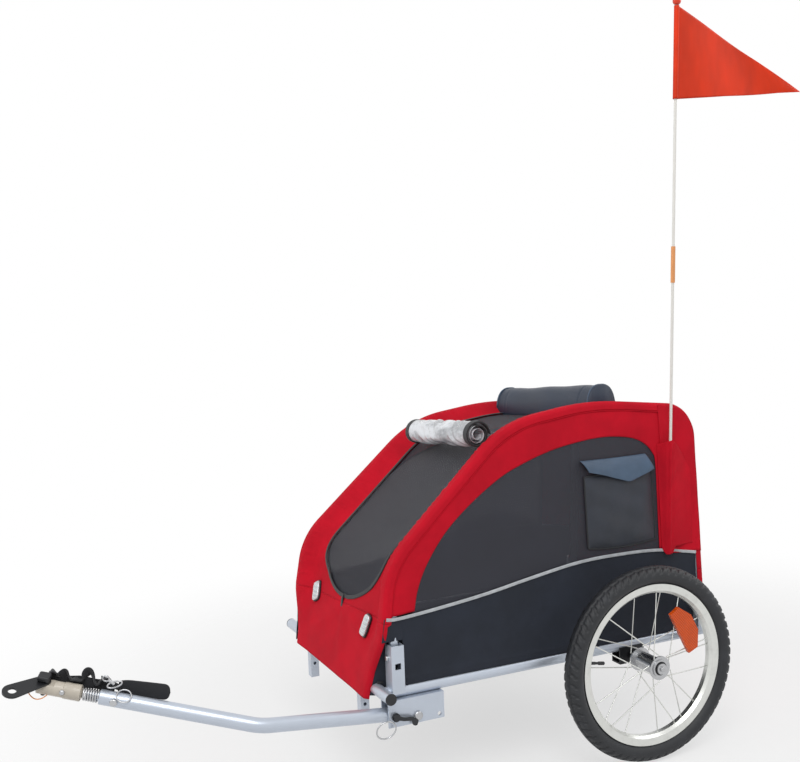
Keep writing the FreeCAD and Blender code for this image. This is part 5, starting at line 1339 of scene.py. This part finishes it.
def snap_hook():
    """Snap hook on the strap: a long link, an eye and the neck between them."""
    side = hitch_frame()[2]
    turn = np.linspace(0, math.tau, 61)[:-1]
    tilt = math.atan2(0.0125, -0.0240)
    long, short = 0.0135 * np.cos(turn), 0.0052 * np.sin(turn)
    link = np.stack([long * math.cos(tilt) - short * math.sin(tilt) - 0.0215, 0.0030 + 0 * turn,
                     long * math.sin(tilt) + short * math.cos(tilt) + 0.0278], -1)
    eye = np.stack([-0.0045 + 0.0056 * np.cos(turn), 0.0030 + 0.002 * np.sin(turn),
                    0.0356 + 0.0056 * np.sin(turn)], -1)
    neck = through(HOOK_NECK, 24)
    parts = [carried(hitch_points(link), round_profile(0.0015, 10), side, ring=True),
             carried(hitch_points(eye), round_profile(0.0014, 10), side, ring=True),
             carried(hitch_points(neck), round_profile(0.0029, 12), side)]
    make("snap_hook", parts, "steel", "tow_arm")


def hitch_metal():
    """Wire bail of the hitch pin, and the collar, mouth and bolt of the hitch sleeve."""
    origin, ahead, side = hitch_frame()[:3]
    bail = carried(hitch_points(through(BAIL, 90)), round_profile(0.0010, 10), side)
    make("pin_bail", [bail], "wire", "hitch_head")
    make("sleeve_collar", [spun(SLEEVE_COLLAR, origin, ahead, 64)], "sleeve", "hitch_head")
    make("sleeve_mouth", [spun(SLEEVE_MOUTH, origin, ahead, 64)], "plastic", "hitch_head")
    bolt = spun(SLEEVE_BOLT, hitch_points((0.0645, 0.0, 0.0008)), side, 32)
    make("sleeve_bolt", [bolt], "steel", "hitch_head")


def pin_tether():
    """Rubber tether from the pivot bolt to the lock pin, and the pin's wire ring."""
    pin, bolt = (np.array(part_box(name)) for name in ("tow_lock_pin", "tow_pivot_bolt"))
    out = max(pin[1, 1], bolt[1, 1]) + 0.0016
    a, b = pin.mean(axis=0), bolt.mean(axis=0)
    sling = through([(a[0] + 0.007, out, a[2]), (a[0], out, a[2] + 0.0006),
                     (a[0] * 0.7 + b[0] * 0.3, out + 0.0012, a[2] - 0.0035),
                     (a[0] * 0.35 + b[0] * 0.65, out + 0.0008, a[2] - 0.0060),
                     (b[0] + 0.009, out, b[2] - 0.0085), (b[0] + 0.004, out, b[2] - 0.0105)], 70)
    along = np.linspace(0, 1, 70)
    wide = 0.55 + 0.45 * (bell(along, 0.1, 0.10) + bell(along, 0.9, 0.10))
    band = carried(sling, flat_profile(0.0135, 0.0024, 24), (0, 1, 0), scale=wide)
    tether = make("pin_tether", [band], "rubber")
    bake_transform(tether)
    turn = np.linspace(0, math.tau, 61)[:-1]
    hoop = np.stack([a[0] + 0.024 + 0.0195 * np.cos(turn), out + 0.0012 + 0.004 * np.sin(turn),
                     a[2] - 0.0175 + 0.0175 * np.sin(turn)], -1)
    make("pin_ring", [carried(hoop, round_profile(0.0015, 8), (0, 1, 0.1), ring=True)], "steel", "tow_pin")


# Frame's own nodes and the stage

def metalwork():
    for key, names in NODE_FINISH.items():
        for name in names:
            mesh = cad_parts[name].data
            mesh.materials.clear()
            mesh.materials.append(finish(key))


def placed(name, data, columns):
    """A camera or lamp with its axes and its place as the columns of its matrix."""
    holder = bpy.data.objects.new(name, data)
    bpy.context.scene.collection.objects.link(holder)
    pose = np.eye(4)
    pose[:3] = np.stack(columns, -1)
    holder.matrix_world = Matrix(pose.tolist())
    return holder


def camera():
    data = bpy.data.cameras.new("view")
    data.sensor_fit, data.sensor_width = "HORIZONTAL", SENSOR
    data.lens = FOCAL_PIXELS / PHOTO_WIDTH * SENSOR
    bpy.context.scene.camera = placed("view", data, [CAMERA_RIGHT, -CAMERA_DOWN, -CAMERA_AHEAD, CAMERA_AT])


def floor():
    """Pale floor that fades out, and looks whiter to the camera than it lights the trailer."""
    f = Finish("pale_floor")
    at = f.place()
    x, y = f.axes(at)[:2]
    far = ((x * x) + (y * y)).power(0.5)
    speck = f.noise(at, 30.0, 3.0)
    f.set(colour=f.mix(speck, (0.86, 0.86, 0.86, 1.0), (0.9, 0.9, 0.9, 1.0)), rough=0.9, specular=0.1)
    white = f.node("Emission", inputs={"Color": (1.0, 1.0, 1.0, 1.0), "Strength": 1.0})
    lit = f.node("MixShader", inputs={0: f.seen() * 0.62, 1: Value(f, f.shader.outputs[0]), 2: white})
    clear = f.node("BsdfTransparent")
    blended = f.node("MixShader", inputs={0: far.ramp(0.75, 1.7), 1: lit, 2: clear})
    f.tree.links.new(blended.socket, f.tree.nodes["Material Output"].inputs["Surface"])
    n = np.linspace(-3, 3, 13)
    gx, gy = np.meshgrid(n, n, indexing="ij")
    points, quads = grid_part(np.stack([gx, gy, np.full_like(gx, -0.0004)], -1))[::2]
    mesh = bpy.data.meshes.new("floor")
    mesh.from_pydata(points.tolist(), [], quads.tolist())
    mesh.materials.append(f.material)
    ground = bpy.data.objects.new("floor", mesh)
    bpy.context.scene.collection.objects.link(ground)


def studio():
    """White surroundings, dimmer as a light than they look, and soft round lamps."""
    scene = bpy.context.scene
    scene.world = bpy.data.worlds.new("studio")
    scene.world.use_nodes = True
    nodes = Nodes(scene.world.node_tree)
    background = nodes.tree.nodes["Background"]
    background.inputs["Color"].default_value = (1, 1, 1, 1)
    strength = nodes.seen() * (1.0 - WORLD_LIGHT) + WORLD_LIGHT
    nodes.tree.links.new(strength.socket, background.inputs["Strength"])
    for name, at, aim, width, power in LAMPS:
        lamp = bpy.data.lights.new(name, "AREA")
        lamp.shape, lamp.size, lamp.energy = "DISK", width, power
        back = unit(np.array(at) - np.array(aim))
        across = unit(np.cross([0, 0, 1.0], back))
        placed(name, lamp, [across, np.cross(back, across), back, at])
    scene.view_settings.view_transform = "Standard"


# Operators

class Build:
    """What the operators share: each runs its build functions in order."""
    builds = ()

    def execute(self, context):
        for build in self.builds:
            build()
        return {"FINISHED"}


class TRAILER_OT_metalwork(Build, bpy.types.Operator):
    """Finishes of the frame's own tubes, wheels, reflectors, hitch and pole"""
    bl_idname = "trailer.metalwork"
    bl_label = "Metalwork"
    builds = (metalwork,)


class TRAILER_OT_cover(Build, bpy.types.Operator):
    """Front, roof and back of the cover as one curved sheet, with the mesh door, its binding and its zip"""
    bl_idname = "trailer.cover"
    bl_label = "Cover"
    builds = (cover,)


class TRAILER_OT_sides(Build, bpy.types.Operator):
    """Side borders, mesh windows, dark lower and corner cloths, grey piping, arch seams and rear strips"""
    bl_idname = "trailer.sides"
    bl_label = "Sides"
    builds = (sides,)


class TRAILER_OT_pole_pocket(Build, bpy.types.Operator):
    """Sewn sleeve for the flag pole on the left rear strip"""
    bl_idname = "trailer.pole_pocket"
    bl_label = "Pole pocket"
    builds = (pole_pocket,)


class TRAILER_OT_pocket(Build, bpy.types.Operator):
    """Side pocket as a slack bag and its soft flap"""
    bl_idname = "trailer.pocket"
    bl_label = "Pocket"
    builds = (pocket_bag, pocket_flap)


class TRAILER_OT_rolls(Build, bpy.types.Operator):
    """Clear rain flap rolled above the door, with black bound ends, and the rolled sun flap on the roof"""
    bl_idname = "trailer.rolls"
    bl_label = "Rolls"
    builds = (rain_flap, rain_binding, sun_flap)


class TRAILER_OT_flag(Build, bpy.types.Operator):
    """Pennant with a hem round the pole and soft ripples that grow towards its tip"""
    bl_idname = "trailer.flag"
    bl_label = "Flag"
    builds = (flag,)


class TRAILER_OT_tyres(Build, bpy.types.Operator):
    """Tyres with slanted tread blocks, and their valves"""
    bl_idname = "trailer.tyres"
    bl_label = "Tyres"
    builds = (tyres,)


class TRAILER_OT_hitch_trim(Build, bpy.types.Operator):
    """Safety strap, snap hook, wire bail, sleeve trim, and the lock pin's tether and ring"""
    bl_idname = "trailer.hitch_trim"
    bl_label = "Hitch trim"
    builds = (strap, snap_hook, hitch_metal, pin_tether)


class TRAILER_OT_stage(Build, bpy.types.Operator):
    """Pale floor that fades out, soft lamps and the camera"""
    bl_idname = "trailer.stage"
    bl_label = "Stage"
    builds = (camera, floor, studio)


OPERATORS = [TRAILER_OT_metalwork, TRAILER_OT_cover, TRAILER_OT_sides, TRAILER_OT_pole_pocket,
             TRAILER_OT_pocket, TRAILER_OT_rolls, TRAILER_OT_flag, TRAILER_OT_tyres,
             TRAILER_OT_hitch_trim, TRAILER_OT_stage]


class TRAILER_PT_panel(bpy.types.Panel):
    """Sizes, colours and pieces of the trailer"""
    bl_label = "Dog bike trailer"
    bl_idname = "TRAILER_PT_panel"
    bl_space_type = "VIEW_3D"
    bl_region_type = "UI"
    bl_category = "Trailer"

    def draw(self, context):
        for group in (context.scene.trailer_sizes, context.scene.trailer_colours):
            box = self.layout.box()
            for name in group.__annotations__:
                box.prop(group, name)
        for operator in OPERATORS:
            self.layout.operator(operator.bl_idname)


CLASSES = [TrailerSizes, TrailerColours, *OPERATORS, TRAILER_PT_panel]


def register():
    for cls in CLASSES:
        bpy.utils.register_class(cls)
    bpy.types.Scene.trailer_sizes = bpy.props.PointerProperty(type=TrailerSizes)
    bpy.types.Scene.trailer_colours = bpy.props.PointerProperty(type=TrailerColours)


def unregister():
    del bpy.types.Scene.trailer_colours
    del bpy.types.Scene.trailer_sizes
    for cls in reversed(CLASSES):
        bpy.utils.unregister_class(cls)


def main():
    register()
    for operator in OPERATORS:
        group, name = operator.bl_idname.split(".")
        getattr(getattr(bpy.ops, group), name)()


if __name__ == "__main__":
    main()
